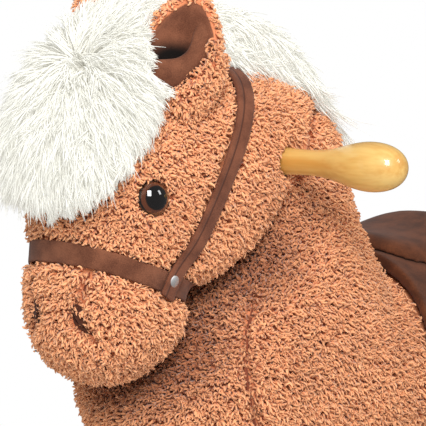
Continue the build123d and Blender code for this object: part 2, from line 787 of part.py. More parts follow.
EAR_PROFILE = ((-0.25, 0.62, 0.8), (0.15, 0.94, 1.0), (0.45, 1.0, 0.86), (0.75, 0.66, 0.6), (0.97, 0.16, 0.26))


def ear_form(side, shrink=0.0, forward=0.0):
    """A leaf shape on the ear's plane, smaller and moved towards its open side if asked."""
    plane = ear_plane(side)
    sections = []
    for share, width, depth in EAR_PROFILE:
        at = plane.offset(share * EAR_LENGTH)
        moved = Plane(origin=at.origin + ear_open_way(side) * forward, x_dir=at.x_dir, z_dir=at.z_dir)
        half_width = max(EAR_HALF_WIDTH * width - shrink, EAR_RIM / 2)
        half_depth = max(EAR_HALF_DEPTH * depth - shrink / 2, EAR_RIM / 2)
        sections.append((moved, half_width, half_depth))
    return oval_loft(sections)


def ear_open_way(side):
    plane = ear_plane(side)
    facing = Vector(cos(radians(EAR_TURN)), side * sin(radians(EAR_TURN)), 0)
    return (facing - plane.z_dir * facing.dot(plane.z_dir)).normalized()


ear_outsides = {}
head_outside = head_form(SOFT_GAP)
for side_name, side in SIDES.items():
    leaf = ear_form(side)
    hollow = ear_form(side, EAR_RIM, EAR_HALF_DEPTH * 0.7)
    lining_front = ear_form(side, EAR_RIM, EAR_HALF_DEPTH * 0.7 + EAR_LINING)
    ear_outsides[side_name] = leaf
    with BuildPart() as ear:
        add(leaf)
        add(hollow, mode=Mode.SUBTRACT)
        add(head_outside, mode=Mode.SUBTRACT)
    finish(ear.part, f"ear_{side_name}")
    with BuildPart() as ear_lining:
        add(leaf)
        add(hollow, mode=Mode.INTERSECT)
        add(lining_front, mode=Mode.SUBTRACT)
        add(head_outside, mode=Mode.SUBTRACT)
    finish(ear_lining.part, f"ear_lining_{side_name}")


# Stuffed head and body, with room for all they hold

groove = nose_ring(-REACH, REACH, STRAP_WIDTH + FIT, STRAP_THICKNESS, -STRAP_THICKNESS - FIT)
nostril_room = nostril_patches(NOSTRIL_SINK + FIT, FIT)

with BuildPart() as stuffed_head:
    add(head_form())
    add(body_outside, mode=Mode.SUBTRACT)
    add(skeleton, mode=Mode.SUBTRACT)
    add(bores, mode=Mode.SUBTRACT)
    add(groove, mode=Mode.SUBTRACT)
    add(shank_way, mode=Mode.SUBTRACT)
    add(eye_room.part, mode=Mode.SUBTRACT)
    add(nostril_room, mode=Mode.SUBTRACT)
finish(stuffed_head.part, "stuffed_head")

with BuildPart() as stuffed_body:
    add(body_form())
    add(skeleton, mode=Mode.SUBTRACT)
    add(bores, mode=Mode.SUBTRACT)
    add(groove, mode=Mode.SUBTRACT)
finish(stuffed_body.part, "stuffed_body")


# Mane, forelock and tail

with BuildPart() as forelock:
    add(stuffed_form(FORELOCK_STATIONS))
    add(head_outside, mode=Mode.SUBTRACT)
    for leaf in ear_outsides.values():
        add(leaf, mode=Mode.SUBTRACT)
finish(forelock.part, "forelock")

with BuildPart() as mane:
    add(stuffed_form(MANE_STATIONS))
    add(strap_outside, mode=Mode.SUBTRACT)
    add(body_outside, mode=Mode.SUBTRACT)
    add(stuffed_form(FORELOCK_STATIONS, SOFT_GAP), mode=Mode.SUBTRACT)
    for leaf in ear_outsides.values():
        add(leaf, mode=Mode.SUBTRACT)
finish(mane.part, "mane")

with BuildPart() as tail:
    add(stuffed_form(TAIL_STATIONS))
    add(body_form(TAIL_GAP), mode=Mode.SUBTRACT)
finish(tail.part, "tail")


# Saddle: skirt with flaps, cushion and girth

SADDLE_MIDDLE = HANDLE_X + (SADDLE_FRONT + SADDLE_REAR) / 2
FLAP_EDGE = HANDLE_Z + SADDLE_FLAP_Z

with BuildPart() as saddle_skirt:
    with BuildSketch(Plane.XZ):
        with Locations((SADDLE_MIDDLE, FLAP_EDGE)):
            RectangleRounded(
                SADDLE_FRONT - SADDLE_REAR - 2 * SOFT_GAP,
                REACH,
                SADDLE_CORNER,
                align=(Align.CENTER, Align.MIN),
            )
    extrude(amount=REACH, both=True)
    add(stuffed_form(SADDLE_STATIONS), mode=Mode.INTERSECT)
    add(body_outside, mode=Mode.SUBTRACT)
finish(saddle_skirt.part, "saddle_skirt")

with BuildPart() as saddle_cushion:
    add(stuffed_form(CUSHION_STATIONS))
    add(stuffed_form(SADDLE_STATIONS, SOFT_GAP), mode=Mode.SUBTRACT)
    add(body_outside, mode=Mode.SUBTRACT)
finish(saddle_cushion.part, "saddle_cushion")

with BuildPart() as girth:
    with BuildSketch(Plane.XZ):
        with Locations((HANDLE_X + GIRTH_X, FLAP_EDGE - SOFT_GAP)):
            Rectangle(GIRTH_WIDTH, REACH, align=(Align.CENTER, Align.MAX))
    extrude(amount=REACH, both=True)
    add(body_form(SOFT_GAP + STRAP_THICKNESS), mode=Mode.INTERSECT)
    add(body_outside, mode=Mode.SUBTRACT)
finish(girth.part, "girth")
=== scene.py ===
# %% [markdown]
# # A plush rocking horse
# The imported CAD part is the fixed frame. This script dresses it: a curly coat, a long white mane,
# velour straps, glossy eyes and varnished wood, seen from where the photographer stood.

# %% Load the frame
import math

import bmesh
import bpy
import numpy as np
from mathutils import Matrix, Vector
from mathutils.bvhtree import BVHTree
from mathutils.kdtree import KDTree


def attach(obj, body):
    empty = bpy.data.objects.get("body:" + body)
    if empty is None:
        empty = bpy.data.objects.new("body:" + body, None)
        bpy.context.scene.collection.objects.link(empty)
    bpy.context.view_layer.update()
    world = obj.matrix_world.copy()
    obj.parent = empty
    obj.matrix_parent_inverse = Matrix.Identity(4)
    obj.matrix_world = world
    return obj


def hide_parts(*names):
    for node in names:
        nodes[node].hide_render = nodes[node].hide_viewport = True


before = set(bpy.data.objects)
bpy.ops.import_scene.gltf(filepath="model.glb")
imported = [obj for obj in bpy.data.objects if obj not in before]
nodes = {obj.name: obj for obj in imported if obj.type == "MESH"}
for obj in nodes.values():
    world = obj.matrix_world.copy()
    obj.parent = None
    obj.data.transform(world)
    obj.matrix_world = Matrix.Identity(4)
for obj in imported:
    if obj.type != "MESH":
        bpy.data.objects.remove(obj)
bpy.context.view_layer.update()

chance = np.random.default_rng(7)

# %% [markdown]
# ## Where the camera stands
# The camera could be tried out by eye. Here it was worked out: the handle's root, the eye and the
# rivet of the CAD part have to fall on their places in the photo, which fixes a long lens 1.5 m
# away, 42 degrees round and 6 degrees up. A pixel of the photo can then be cast back on the model,
# which later places the seams of the coat.

# %% Camera
PICTURE = 426
FOCAL_PIXELS = 2040
SENSOR = 36
TURN = math.radians(42)
RISE = math.radians(6)
camera_place = Vector((1.2175, 1.0180, 0.5338))
backwards = Vector(
    (math.cos(TURN) * math.cos(RISE), math.sin(TURN) * math.cos(RISE), math.sin(RISE))
)
rightwards = Vector((-math.sin(TURN), math.cos(TURN), 0))
upwards = backwards.cross(rightwards)


def pixel_way(x, y):
    """The direction in which the camera sees one pixel of the photo."""
    across = (x - PICTURE / 2) / FOCAL_PIXELS
    down = (y - PICTURE / 2) / FOCAL_PIXELS
    return (rightwards * across - upwards * down - backwards).normalized()


lens = bpy.data.cameras.new("camera")
lens.sensor_width = SENSOR
lens.lens = SENSOR * FOCAL_PIXELS / PICTURE
lens.clip_start = 0.05
camera = bpy.data.objects.new("camera", lens)
bpy.context.scene.collection.objects.link(camera)
camera_turn = Matrix((rightwards, upwards, backwards)).transposed().to_4x4()
camera.matrix_world = Matrix.Translation(camera_place) @ camera_turn
bpy.context.scene.camera = camera
print("camera", round(lens.lens, 1), "mm")

# %% [markdown]
# ## Shader sums
# Materials are node trees. Wiring them by hand is long, so one small class wraps a socket: plus,
# minus and times add Math nodes, `vector` adds a step of vector maths, `mix` mixes two colours,
# and `node` adds any other node.


# %% Shader helper
class Wire:
    """A socket of a node tree that can be reckoned with."""

    def __init__(self, tree, socket=None):
        self.tree = tree
        self.socket = socket

    def node(self, kind, output=0, settings=None, sockets=None):
        """Adds a node, with its settings first, then the values or links of its sockets."""
        made = self.tree.nodes.new(kind)
        for name, value in (settings or {}).items():
            setattr(made, name, value)
        for name, value in (sockets or {}).items():
            self.join(made.inputs[name], value)
        return Wire(self.tree, made.outputs[output] if made.outputs else None)

    def join(self, target, value):
        """Links a wire to a socket, or sets a plain value on it."""
        if isinstance(value, Wire):
            self.tree.links.new(value.socket, target)
        else:
            target.default_value = value

    def sum(self, operation, first, second=0.0):
        way = {"operation": operation}
        return self.node("ShaderNodeMath", settings=way, sockets={0: first, 1: second})

    def __add__(self, other):
        return self.sum("ADD", self, other)

    def __radd__(self, other):
        return self.sum("ADD", other, self)

    def __sub__(self, other):
        return self.sum("SUBTRACT", self, other)

    def __rsub__(self, other):
        return self.sum("SUBTRACT", other, self)

    def __mul__(self, other):
        return self.sum("MULTIPLY", self, other)

    def __rmul__(self, other):
        return self.sum("MULTIPLY", other, self)

    def between(self, low, high):
        """0 below low, 1 above high, smooth between."""
        way = {"interpolation_type": "SMOOTHSTEP"}
        span = {"Value": self, "From Min": low, "From Max": high}
        return self.node("ShaderNodeMapRange", settings=way, sockets=span)

    def vector(self, operation, first, second=None, output="Vector"):
        """One step of vector maths on one vector or two."""
        given = {0: first} if second is None else {0: first, 1: second}
        return self.node("ShaderNodeVectorMath", output, {"operation": operation}, given)

    def mix(self, share, first, second, way="MIX"):
        """A colour made of two colours; the share says how much of the second."""
        settings = {"data_type": "RGBA", "blend_type": way}
        return self.node("ShaderNodeMix", 2, settings, {0: share, 6: first, 7: second})


# %% [markdown]
# Three more helpers start every material. Colours are written as they look in a picture, from 0 to
# 255, and shaders want them linear. Noise lies in the part's own coordinates, in metres, so a grain
# has the same size on each piece.


# %% Start of a material
def colour(red, green, blue):
    """A photo colour, 0 to 255, as the linear colour that shaders use."""
    values = []
    for part in (red, green, blue):
        share = part / 255
        values.append(share / 12.92 if share <= 0.04045 else ((share + 0.055) / 1.055) ** 2.4)
    return (*values, 1.0)


def new_material(name, uniform):
    """A material with these uniform values, a wire to build its nodes with, and its sockets."""
    made = bpy.data.materials.new(name)
    made.use_nodes = True
    sockets = made.node_tree.nodes["Principled BSDF"].inputs
    for socket, value in uniform.items():
        sockets[socket].default_value = value
    return made, Wire(made.node_tree), sockets


def noise(wire, scale, detail, stretch=(1, 1, 1)):
    """Soft noise over the part, drawn out along an axis where its stretch is small."""
    place = wire.node("ShaderNodeTexCoord", output="Object")
    values = {"Vector": wire.vector("MULTIPLY", place, stretch), "Scale": scale, "Detail": detail}
    return wire.node("ShaderNodeTexNoise", sockets=values)


def bump(wire, height, strength):
    """Small relief, up to about half a millimetre, from a height."""
    values = {"Height": height, "Strength": strength, "Distance": 0.0006}
    return wire.node("ShaderNodeBump", sockets=values)


print("photo white is", colour(255, 255, 255))

# %% [markdown]
# ## Coat and mane yarn
# Colours are means taken from the photo. One colour for a whole coat would look like plastic, and a
# picture of plush would smear where it bends. So the curls and the white strands carry two numbers
# on each vertex: `along` runs from root to tip and `tone` is one random value for each tuft, so no
# two tufts are quite alike. On the coat the tone is also lowered as painted shade in seams, nostril
# slits and under the jaw. Both yarns are darker at the root than at the tip, which is painted shade
# near the skin, and the white pile has a painted glow in place of light scattered between strands.

# %% Materials of the pile
PILE_FEEL = {"Roughness": 0.85, "Sheen Weight": 0.25, "Specular IOR Level": 0.15}
TIP_FROM = 0.75


def pile_material(name, root, tip, dark, light, painted_glow):
    """Yarn that goes from root to tip colour, times a shade from dark to light for each tuft.
    The darker root is painted shade near the skin, and the emission is a painted glow.
    """
    made, wire, shader = new_material(name, {**PILE_FEEL, "Emission Strength": painted_glow})
    along = wire.node("ShaderNodeAttribute", output="Fac", settings={"attribute_name": "along"})
    tone = wire.node("ShaderNodeAttribute", output="Fac", settings={"attribute_name": "tone"})
    # Painted shade: the yarn is darker at its root, near the skin.
    strand = wire.mix(along.between(0.0, TIP_FROM), root, tip)
    # Each tuft's shade; on the coat its tone is also lowered as painted shade in seams and under the
    # jaw.
    shade = wire.mix(tone, dark, light)
    # Painted glow: the yarn glows in its tip colour, in place of light scattered between fibres.
    wire.join(shader["Emission Color"], tip)
    wire.join(shader["Base Color"], wire.mix(1.0, strand, shade, "MULTIPLY"))
    return made


# The dark end also colours the painted shade in seams, nostril slits and under the jaw.
coat_shades = (0.42, 0.30, 0.26, 1), (1.12, 1.12, 1.12, 1)
coat_pile = pile_material(
    "coat_pile", colour(226, 146, 100), colour(240, 174, 125), *coat_shades, painted_glow=0.0
)
white_shades = (0.96, 0.96, 0.95, 1), (1.0, 1.0, 1.0, 1)
# The white pile gets a painted glow, in place of light scattered between its strands.
white_pile = pile_material(
    "white_pile", colour(220, 218, 210), colour(227, 226, 219), *white_shades, painted_glow=0.24
)
print("pile:", coat_pile.name, white_pile.name)

# %% [markdown]
# ## Cloth
# Straps, hooves and ear linings are brown velour, the saddle is a darker cloth, and a woven backing
# shows between the curls. A photo of cloth could be wrapped round each, but seams in it would show.
# Two noises do it here: large patches where the nap is rubbed, and fine fibres that also raise a
# little relief.

# %% Materials of the cloth
CLOTH_FEEL = {
    "Roughness": 0.9,
    "Sheen Weight": 0.08,
    "Sheen Roughness": 0.5,
    "Specular IOR Level": 0.2,
}
VELOUR_GRAIN = 1500.0
NAP_RELIEF = 0.35


def rubbed(wire, base, worn, grain):
    """A cloth colour between two shades, and the fibres that it follows."""
    patches = noise(wire, 60.0, 3.0)
    fibres = noise(wire, grain, 2.0)
    wear = (patches * 0.6 + fibres * 0.4).between(0.3, 0.7)
    return wire.mix(wear, base, worn), fibres


def cloth(name, base, worn, grain):
    """Plain cloth with a rubbed nap."""
    made, wire, shader = new_material(name, CLOTH_FEEL)
    shade, fibres = rubbed(wire, base, worn, grain)
    wire.join(shader["Base Color"], shade)
    wire.join(shader["Normal"], bump(wire, fibres, NAP_RELIEF))
    return made


coat_skin = cloth("coat_skin", colour(204, 124, 84), colour(216, 138, 96), 700.0)
white_skin = cloth("white_skin", colour(214, 212, 203), colour(228, 226, 218), 500.0)
velour = cloth("velour", colour(80, 44, 29), colour(126, 78, 55), VELOUR_GRAIN)
saddle_cloth = cloth("saddle_cloth", colour(64, 33, 18), colour(104, 58, 34), 1200.0)
dark_felt = cloth("dark_felt", colour(58, 28, 18), colour(84, 44, 28), 900.0)
# Painted shade: the dark cloth of the seam lines stands for the shade in their partings.
seam_shade_cloth = cloth("seam_shade_cloth", colour(112, 56, 38), colour(138, 74, 50), 900.0)
print("cloth:", [made.name for made in (coat_skin, white_skin, velour, saddle_cloth)])

# %% [markdown]
# ## Wood and steel
# The wood is clear-varnished: a streaky base under a glossy coat. Rings could be cut through a
# solid texture, but these boards show only long streaks. So the grain is noise drawn out along each
# board: grips and slats streak along Y, runners along X. Rivets and screws are brushed steel.

# %% Materials of the hard pieces
VARNISH_FEEL = {"Roughness": 0.38, "Coat Weight": 0.8, "Coat Roughness": 0.06}
STREAKED = 0.08


def wood(name, stretch):
    """Varnished wood whose grain runs along the axis of the small stretch."""
    made, wire, shader = new_material(name, VARNISH_FEEL)
    streaks = noise(wire, 90.0, 4.0, stretch)
    pores = noise(wire, 420.0, 2.0, stretch)
    grain = (streaks * 0.75 + pores * 0.25).between(0.36, 0.68)
    wire.join(shader["Base Color"], wire.mix(grain, colour(220, 180, 104), colour(200, 147, 70)))
    return made


grip_wood = wood("grip_wood", (1, STREAKED, 1))
runner_wood = wood("runner_wood", (STREAKED, 1, 1))
slat_wood = wood("slat_wood", (1, STREAKED, 1))
steel_feel = {"Roughness": 0.55, "Metallic": 1.0, "Base Color": (0.9, 0.9, 0.9, 1)}
steel = new_material("steel", steel_feel)[0]
print("hard:", [made.name for made in (grip_wood, runner_wood, slat_wood, steel)])

# %% [markdown]
# ## Smooth skins
# The cover of the real horse is a sewn skin over wadding, round everywhere. The CAD solids are
# triangulated coarsely, and a subdivision would keep their facets. So their copies are rebuilt on a
# fine voxel grid and smoothed, which rounds the facets away.

# %% Smooth copies
GRID_EASE = 0.5


def object_from(name, mesh, body="horse"):
    """A new piece of the scene that rides on a body."""
    made = bpy.data.objects.new(name, mesh)
    bpy.context.scene.collection.objects.link(made)
    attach(made, body)
    return made


def smooth_copy(node, voxel, rounds):
    """A new mesh of a CAD node, rebuilt on a voxel grid and smoothed."""
    helper = bpy.data.objects.new("helper", nodes[node].data.copy())
    bpy.context.scene.collection.objects.link(helper)
    grid = helper.modifiers.new("grid", "REMESH")
    grid.mode = "VOXEL"
    grid.voxel_size = voxel
    ease = helper.modifiers.new("ease", "SMOOTH")
    ease.factor = GRID_EASE
    ease.iterations = rounds
    bpy.context.view_layer.update()
    settled = helper.evaluated_get(bpy.context.evaluated_depsgraph_get())
    mesh = bpy.data.meshes.new_from_object(settled)
    bpy.data.objects.remove(helper)
    mesh.materials.clear()
    mesh.shade_smooth()
    return mesh


# %% [markdown]
# Blender hands out vertices one by one, which is slow in Python. Read in one go as arrays, a whole
# skin can be measured at once, and a search tree answers where its surface is nearest.


# %% Vertices as arrays
def vertex_data(mesh):
    """Vertices, their normals and triangles as arrays."""
    points = np.zeros(len(mesh.vertices) * 3)
    mesh.vertices.foreach_get("co", points)
    normals = np.zeros(len(mesh.vertices) * 3)
    mesh.vertex_normals.foreach_get("vector", normals)
    mesh.calc_loop_triangles()
    triangles = np.zeros(len(mesh.loop_triangles) * 3, dtype=int)
    mesh.loop_triangles.foreach_get("vertices", triangles)
    return points.reshape(-1, 3), normals.reshape(-1, 3), triangles.reshape(-1, 3)


def tree_of(points, triangles):
    """A search tree that finds the nearest spot of a surface, or where a ray hits it."""
    return BVHTree.FromPolygons([Vector(p) for p in points], [tuple(t) for t in triangles])


print("head:", len(vertex_data(nodes["stuffed_head"].data)[0]), "CAD vertices")

# %% [markdown]
# The noseband is buckled tight, so the front of the muzzle is drawn in by a few millimetres. A cloth
# simulation with a shrinking band would find this by itself, but not twice in the same way on every
# machine. A smooth squeeze of the points gives the same form each time.

# %% Muzzle drawn in
DRAWN_FROM = 0.205
DRAWN_OVER = 0.060
DRAWN_BACK = 0.006
DRAWN_NARROWER = 0.07
DRAWN_IN = ("noseband", "nostrils")


def draw_in(points, _normals=None):
    """Draws the front of the muzzle in, as the tight noseband does."""
    share = np.clip((points[:, 0] - DRAWN_FROM) / DRAWN_OVER, 0, 1)
    share = share * share * (3 - 2 * share)
    moved = points.copy()
    moved[:, 0] -= DRAWN_BACK * share
    moved[:, 1] *= 1 - DRAWN_NARROWER * share
    return moved


node_trees = {}
for name, node in nodes.items():
    points, _, triangles = vertex_data(node.data)
    node_trees[name] = tree_of(draw_in(points) if name in DRAWN_IN else points, triangles)
print(len(node_trees), "search trees")

# %% [markdown]
# A plush skin is also sunk by the height of its pile, so that the tips of the curls reach the CAD
# surface and the dressed horse stays as large as the part.


# %% Skins
def dress(node, piece, material, voxel, rounds, sink=0.0, body="horse", reshape=None):
    """Shows a smooth copy of a node in place of it, and returns its unsunk vertex data."""
    mesh = smooth_copy(node, voxel, rounds)
    if reshape is not None:
        points, normals, _ = vertex_data(mesh)
        mesh.vertices.foreach_set("co", reshape(points, normals).ravel())
        mesh.update()
    data = vertex_data(mesh)
    if sink:
        mesh.vertices.foreach_set("co", (data[0] - data[1] * sink).ravel())
        mesh.update()
    mesh.materials.append(material)
    made = object_from(piece, mesh, body)
    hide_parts(node)
    return made, data


# %% [markdown]
# ## Tufts
# The coat and the mane are thousands of small tufts of yarn. A hair system would be quicker to set
# up, but it can't leave this program as a mesh. So each curl or strand is a real little tapered tube
# round a path. All the tubes of a piece are made at once with arrays: rings of points round the
# paths, then quads between the rings. Each tube gets its own cell of the UV map.

# %% Shape of a tube
CELL_MARGIN = 0.1


def unit(vectors):
    """The same directions, each one long."""
    return vectors / np.maximum(np.linalg.norm(vectors, axis=-1, keepdims=True), 1e-9)


def tube_points(paths, radii, sides):
    """A ring of points round each point of each path."""
    ways = unit(np.gradient(paths, axis=1))
    guide = unit(chance.normal(size=(len(paths), 1, 3)))
    first = unit(np.cross(ways, guide))
    second = np.cross(ways, first)
    angles = 2 * np.pi * np.arange(sides) / sides
    spokes = first[:, :, None] * np.cos(angles)[:, None]
    spokes = spokes + second[:, :, None] * np.sin(angles)[:, None]
    return paths[:, :, None] + radii[:, :, None, None] * spokes


def tube_quads(count, rings, sides):
    """The quads between neighbouring rings, and their corners on the UV map."""
    ring, side = np.meshgrid(np.arange(rings - 1), np.arange(sides), indexing="ij")
    turned = (side + 1) % sides
    low, high = ring * sides, (ring + 1) * sides
    quad = np.stack([low + side, low + turned, high + turned, high + side], -1)
    quads = quad.reshape(1, -1, 4) + (np.arange(count) * rings * sides)[:, None, None]
    cells = math.ceil(math.sqrt(count))
    corner = np.stack([np.arange(count) % cells, np.arange(count) // cells], -1)
    round_share = np.stack([side, side + 1, side + 1, side], -1) / sides
    long_share = np.stack([ring, ring, ring + 1, ring + 1], -1) / (rings - 1)
    inside = np.stack([round_share, long_share], -1).reshape(1, -1, 2)
    inside = inside * (1 - 2 * CELL_MARGIN) + CELL_MARGIN
    return quads, (corner[:, None] + inside) / cells


print("a tube of 6 rings and 3 sides has", tube_quads(1, 6, 3)[0].shape[1], "quads")


# %% Meshes of tubes
def tubes(name, paths, radii, sides, tones, material, body="horse"):
    """One mesh of tapered tubes. Paths are (tube, ring, xyz), radii are (tube, ring)."""
    count, rings = paths.shape[:2]
    points = tube_points(paths, radii, sides)
    quads, spread = tube_quads(count, rings, sides)
    mesh = bpy.data.meshes.new(name)
    mesh.vertices.add(count * rings * sides)
    mesh.vertices.foreach_set("co", points.astype(np.float32).ravel())
    mesh.loops.add(quads.size)
    mesh.loops.foreach_set("vertex_index", quads.astype(np.int32).ravel())
    mesh.polygons.add(quads.size // 4)
    mesh.polygons.foreach_set("loop_start", np.arange(0, quads.size, 4, dtype=np.int32))
    mesh.update(calc_edges=True)
    mesh.shade_smooth()
    along = np.linspace(0, 1, rings)[None, :, None]
    for label, values in (("along", along), ("tone", tones[:, None, None])):
        filled = np.broadcast_to(values, (count, rings, sides)).astype(np.float32)
        mesh.attributes.new(label, "FLOAT", "POINT").data.foreach_set("value", filled.ravel())
    uv_map = mesh.uv_layers.new(name="OFBake")
    uv_map.data.foreach_set("uv", spread.astype(np.float32).ravel())
    mesh.materials.append(material)
    return object_from(name, mesh, body)


# %% [markdown]
# Yarn is tufted through the backing at an even pitch. Purely random roots would leave bald spots, so
# many places are thrown on the skin by area, and only one is kept in each little cube of space.
# Places inside a fold, or beside a strap, have to be told apart, which the search trees do.

# %% Places to grow on
THROWS_PER_ROOT = 5
LOOK_FROM = 0.002
LOOK_FAR = 0.09
FAR_AWAY = 1.0


def scatter(data, spacing):
    """Places about evenly spread over a skin, with their normals."""
    points, normals, triangles = data
    corners = points[triangles]
    crossed = np.cross(corners[:, 1] - corners[:, 0], corners[:, 2] - corners[:, 0])
    areas = np.linalg.norm(crossed, axis=1) / 2
    throws = int(areas.sum() / spacing**2 * THROWS_PER_ROOT)
    picked = chance.choice(len(triangles), throws, p=areas / areas.sum())
    shares = chance.dirichlet((1, 1, 1), throws)
    places = (corners[picked] * shares[:, :, None]).sum(1)
    facing = unit((normals[triangles[picked]] * shares[:, :, None]).sum(1))
    cubes = np.floor(places / spacing).astype(int)
    kept = chance.permutation(np.unique(cubes, axis=0, return_index=True)[1])
    return places[kept], facing[kept]


def gap_to(places, names):
    """Distance from each place to the nearest of these CAD nodes."""
    gaps = np.full(len(places), FAR_AWAY)
    for index, place in enumerate(places):
        for name in names:
            found = node_trees[name].find_nearest(Vector(place), gaps[index])
            if found[0] is not None:
                gaps[index] = min(gaps[index], found[3])
    return gaps


def open_to_air(places, facing, tree):
    """True where a place looks out into the open, not across a pocket inside the form."""
    free = []
    for place, way in zip(places, facing):
        start = Vector(place) + Vector(way) * LOOK_FROM
        free.append(tree.ray_cast(start, Vector(way), LOOK_FAR)[0] is None)
    return np.array(free)


# %% [markdown]
# ## Seams of the coat
# The cover is sewn from panels. One seam runs down the chest, one up the muzzle, and a slit makes
# each nostril. Cutting the mesh into panels would take long and move the form. Their lines are read
# off the photo in pixels instead and cast back on the CAD part, with a mirror image on the far side.
# Curls keep off these lines, get shorter beside them and are darkened with painted shade, so a seam
# shows as a dark parting.

# %% Seams
CHEST_SEAM = [(254, 292), (246, 335), (247, 367), (255, 417), (262, 440)]
MUZZLE_SEAM = [(86, 270), (80, 288), (76, 302)]
NOSTRIL_SLIT = [(69, 314), (70, 322), (78, 331), (92, 342)]
PIXELS_PER_MARK = 2


def cast_back(node, pixels):
    """Points on a CAD node under a line of photo pixels, on both sides of the horse."""
    found = []
    for start, end in zip(pixels, pixels[1:]):
        steps = max(2, int(math.dist(start, end) / PIXELS_PER_MARK))
        for share in np.linspace(0, 1, steps):
            x = start[0] + (end[0] - start[0]) * share
            y = start[1] + (end[1] - start[1]) * share
            hit = node_trees[node].ray_cast(camera_place, pixel_way(x, y))[0]
            if hit is not None:
                found += [hit, Vector((hit.x, -hit.y, hit.z))]
    return found


def distance_to(places, marks):
    """Distance from each place to the nearest mark."""
    if not marks:
        return np.full(len(places), FAR_AWAY)
    tree = KDTree(len(marks))
    for index, mark in enumerate(marks):
        tree.insert(mark, index)
    tree.balance()
    return np.array([tree.find(Vector(place))[2] for place in places])


seams = {
    "stuffed_body": cast_back("stuffed_body", CHEST_SEAM),
    "stuffed_head": cast_back("stuffed_head", MUZZLE_SEAM),
}
slits = {"stuffed_head": cast_back("stuffed_head", NOSTRIL_SLIT)}
print({name: len(marks) for name, marks in seams.items()})

# %% [markdown]
# ## Hairline
# The forelock hangs over the face and ends in a clear line, and it stays out of the ears. That line
# could be painted on the mesh by hand. Here it is a row of photo pixels: a place on the head is sent
# through the camera, and its pixel is compared with the row. Behind the ears the face no longer
# counts, and the white pile may cover the whole crown.

# %% Hairline
HAIRLINE = np.array(
    [(0, 216), (33, 212), (60, 207), (87, 200), (104, 185), (120, 177)]
    + [(136, 155), (150, 137), (159, 120), (164, 98), (166, 86)]
)
ABOVE_PHOTO = -400
BESIDE_EAR = (150, 84)
BEHIND_EARS_DOWN_TO = 60
PIXELS_OF_SLACK = 2600
EAR_TURN = math.radians(48)
EAR_OUT = np.array([math.cos(EAR_TURN), math.sin(EAR_TURN), 0])
EAR_ROOT = np.array([0.180, 0.042, 0.471])


def on_left_side(places):
    """The places, or their mirror images, on the horse's left side."""
    return np.stack([places[:, 0], np.abs(places[:, 1]), places[:, 2]], -1)


def photo_pixels(places):
    """Where the camera sees places, taken on the horse's left side."""
    arms = on_left_side(places) - np.array(camera_place)
    depth = -(arms @ np.array(backwards))
    across = arms @ np.array(rightwards) / depth * FOCAL_PIXELS + PICTURE / 2
    down = PICTURE / 2 - arms @ np.array(upwards) / depth * FOCAL_PIXELS
    return across, down


def past_hairline(tips, slack):
    """True for tips that hang lower on the face than the photo's forelock, or before an ear."""
    across, down = photo_pixels(tips)
    low = np.interp(across, HAIRLINE[:, 0], HAIRLINE[:, 1])
    beside_ear = (across > BESIDE_EAR[0]) & (down < BESIDE_EAR[1])
    low = np.where((across > HAIRLINE[-1, 0]) | beside_ear, ABOVE_PHOTO, low)
    before_ears = on_left_side(tips) @ EAR_OUT > EAR_ROOT @ EAR_OUT
    low = np.where(before_ears, low, BEHIND_EARS_DOWN_TO)
    return down > low + slack * PIXELS_OF_SLACK


print("hairline of", len(HAIRLINE), "photo pixels")

# %% [markdown]
# ## Crease under the jaw
# The head is sewn to the front of the neck, which pulls the chest in under the jaw. The photo shows a
# deep, dark crease there. A cloth simulation could find it, but the seam is hidden and would have to
# be guessed. The chest is sunk by its distance from the head instead, less and less up the neck.

# %% Jaw crease
JAW_REACH = 0.048
JAW_DEPTH = 0.016
JAW_TOP = 0.395
JAW_FADE = 0.05


def close_by(gaps, reach):
    """1 where a gap is nothing, 0 where it is the reach or more."""
    return 1 - np.clip(gaps / reach, 0, 1)


# The same mask also sets the painted shade of the chest's curls under the jaw.
def jaw_crease(places, steepness=1.0):
    """1 on the chest right under the jaw, 0 away from it and up the neck."""
    near = close_by(gap_to(places, ["stuffed_head"]), JAW_REACH)
    low = np.clip((JAW_TOP - places[:, 2]) / JAW_FADE, 0, 1)
    return np.clip(near * steepness, 0, 1) * low


def under_jaw(points, normals):
    """Sinks the chest under the jaw, where the head is sewn on and pulls the cover in."""
    return points - normals * (JAW_DEPTH * jaw_crease(points))[:, None]


print("crease", JAW_DEPTH, "m deep")

# %% [markdown]
# ## The curly coat
# The coat is curly plush: short loops of yarn that have been cut and steamed until they curl. Bump
# alone would leave the outline of the horse bald and smooth. So each curl is real: part of a small
# helix that rises out of the skin and leans a little downwards.

# %% Shape of a curl
CURL_RINGS = 6
CURL_SIDES = 3
CURL_TURN = (2.4, 4.6)
CURL_RISE = 1.35
CURL_LEAN = 0.0014
CURL_FALL = np.array([-0.2, 0.0, -1.0])


def curl_paths(roots, facing, heights, widths):
    """Part of a helix for each root, leaning a little downwards."""
    count = len(roots)
    across = unit(np.cross(facing, chance.normal(size=(count, 3))))
    beside = np.cross(facing, across)
    lean = CURL_FALL - facing * (facing @ CURL_FALL)[:, None]
    turn = chance.uniform(*CURL_TURN, (count, 1, 1)) * chance.choice((-1, 1), (count, 1, 1))
    share = np.linspace(0, 1, CURL_RINGS)[None, :, None]
    rise = heights[:, None, None] * np.sin(CURL_RISE * share) / math.sin(CURL_RISE)
    wide = widths[:, None, None]
    curl = across[:, None] * wide * (1 - np.cos(turn * share))
    curl = curl + beside[:, None] * wide * np.sin(turn * share)
    return roots[:, None] + facing[:, None] * rise + curl + lean[:, None] * CURL_LEAN * share**2


# %% [markdown]
# Curls keep off the straps, the saddle and the other forms, and the face under the forelock has none.
# A painted mask could say where, but it would not follow when a size of the part changes. Distances
# do: each place knows how far it is from its neighbours, from a seam and from a nostril.

# %% Places for curls
CLEAR_OF_FORMS = 0.0012
CLEAR_OF_SEAM = 0.0013
CLEAR_OF_SLIT = 0.0026
UNDER_FORELOCK = -0.004


def rows(kept, *columns):
    """The kept rows of several arrays."""
    return [values[kept] for values in columns]


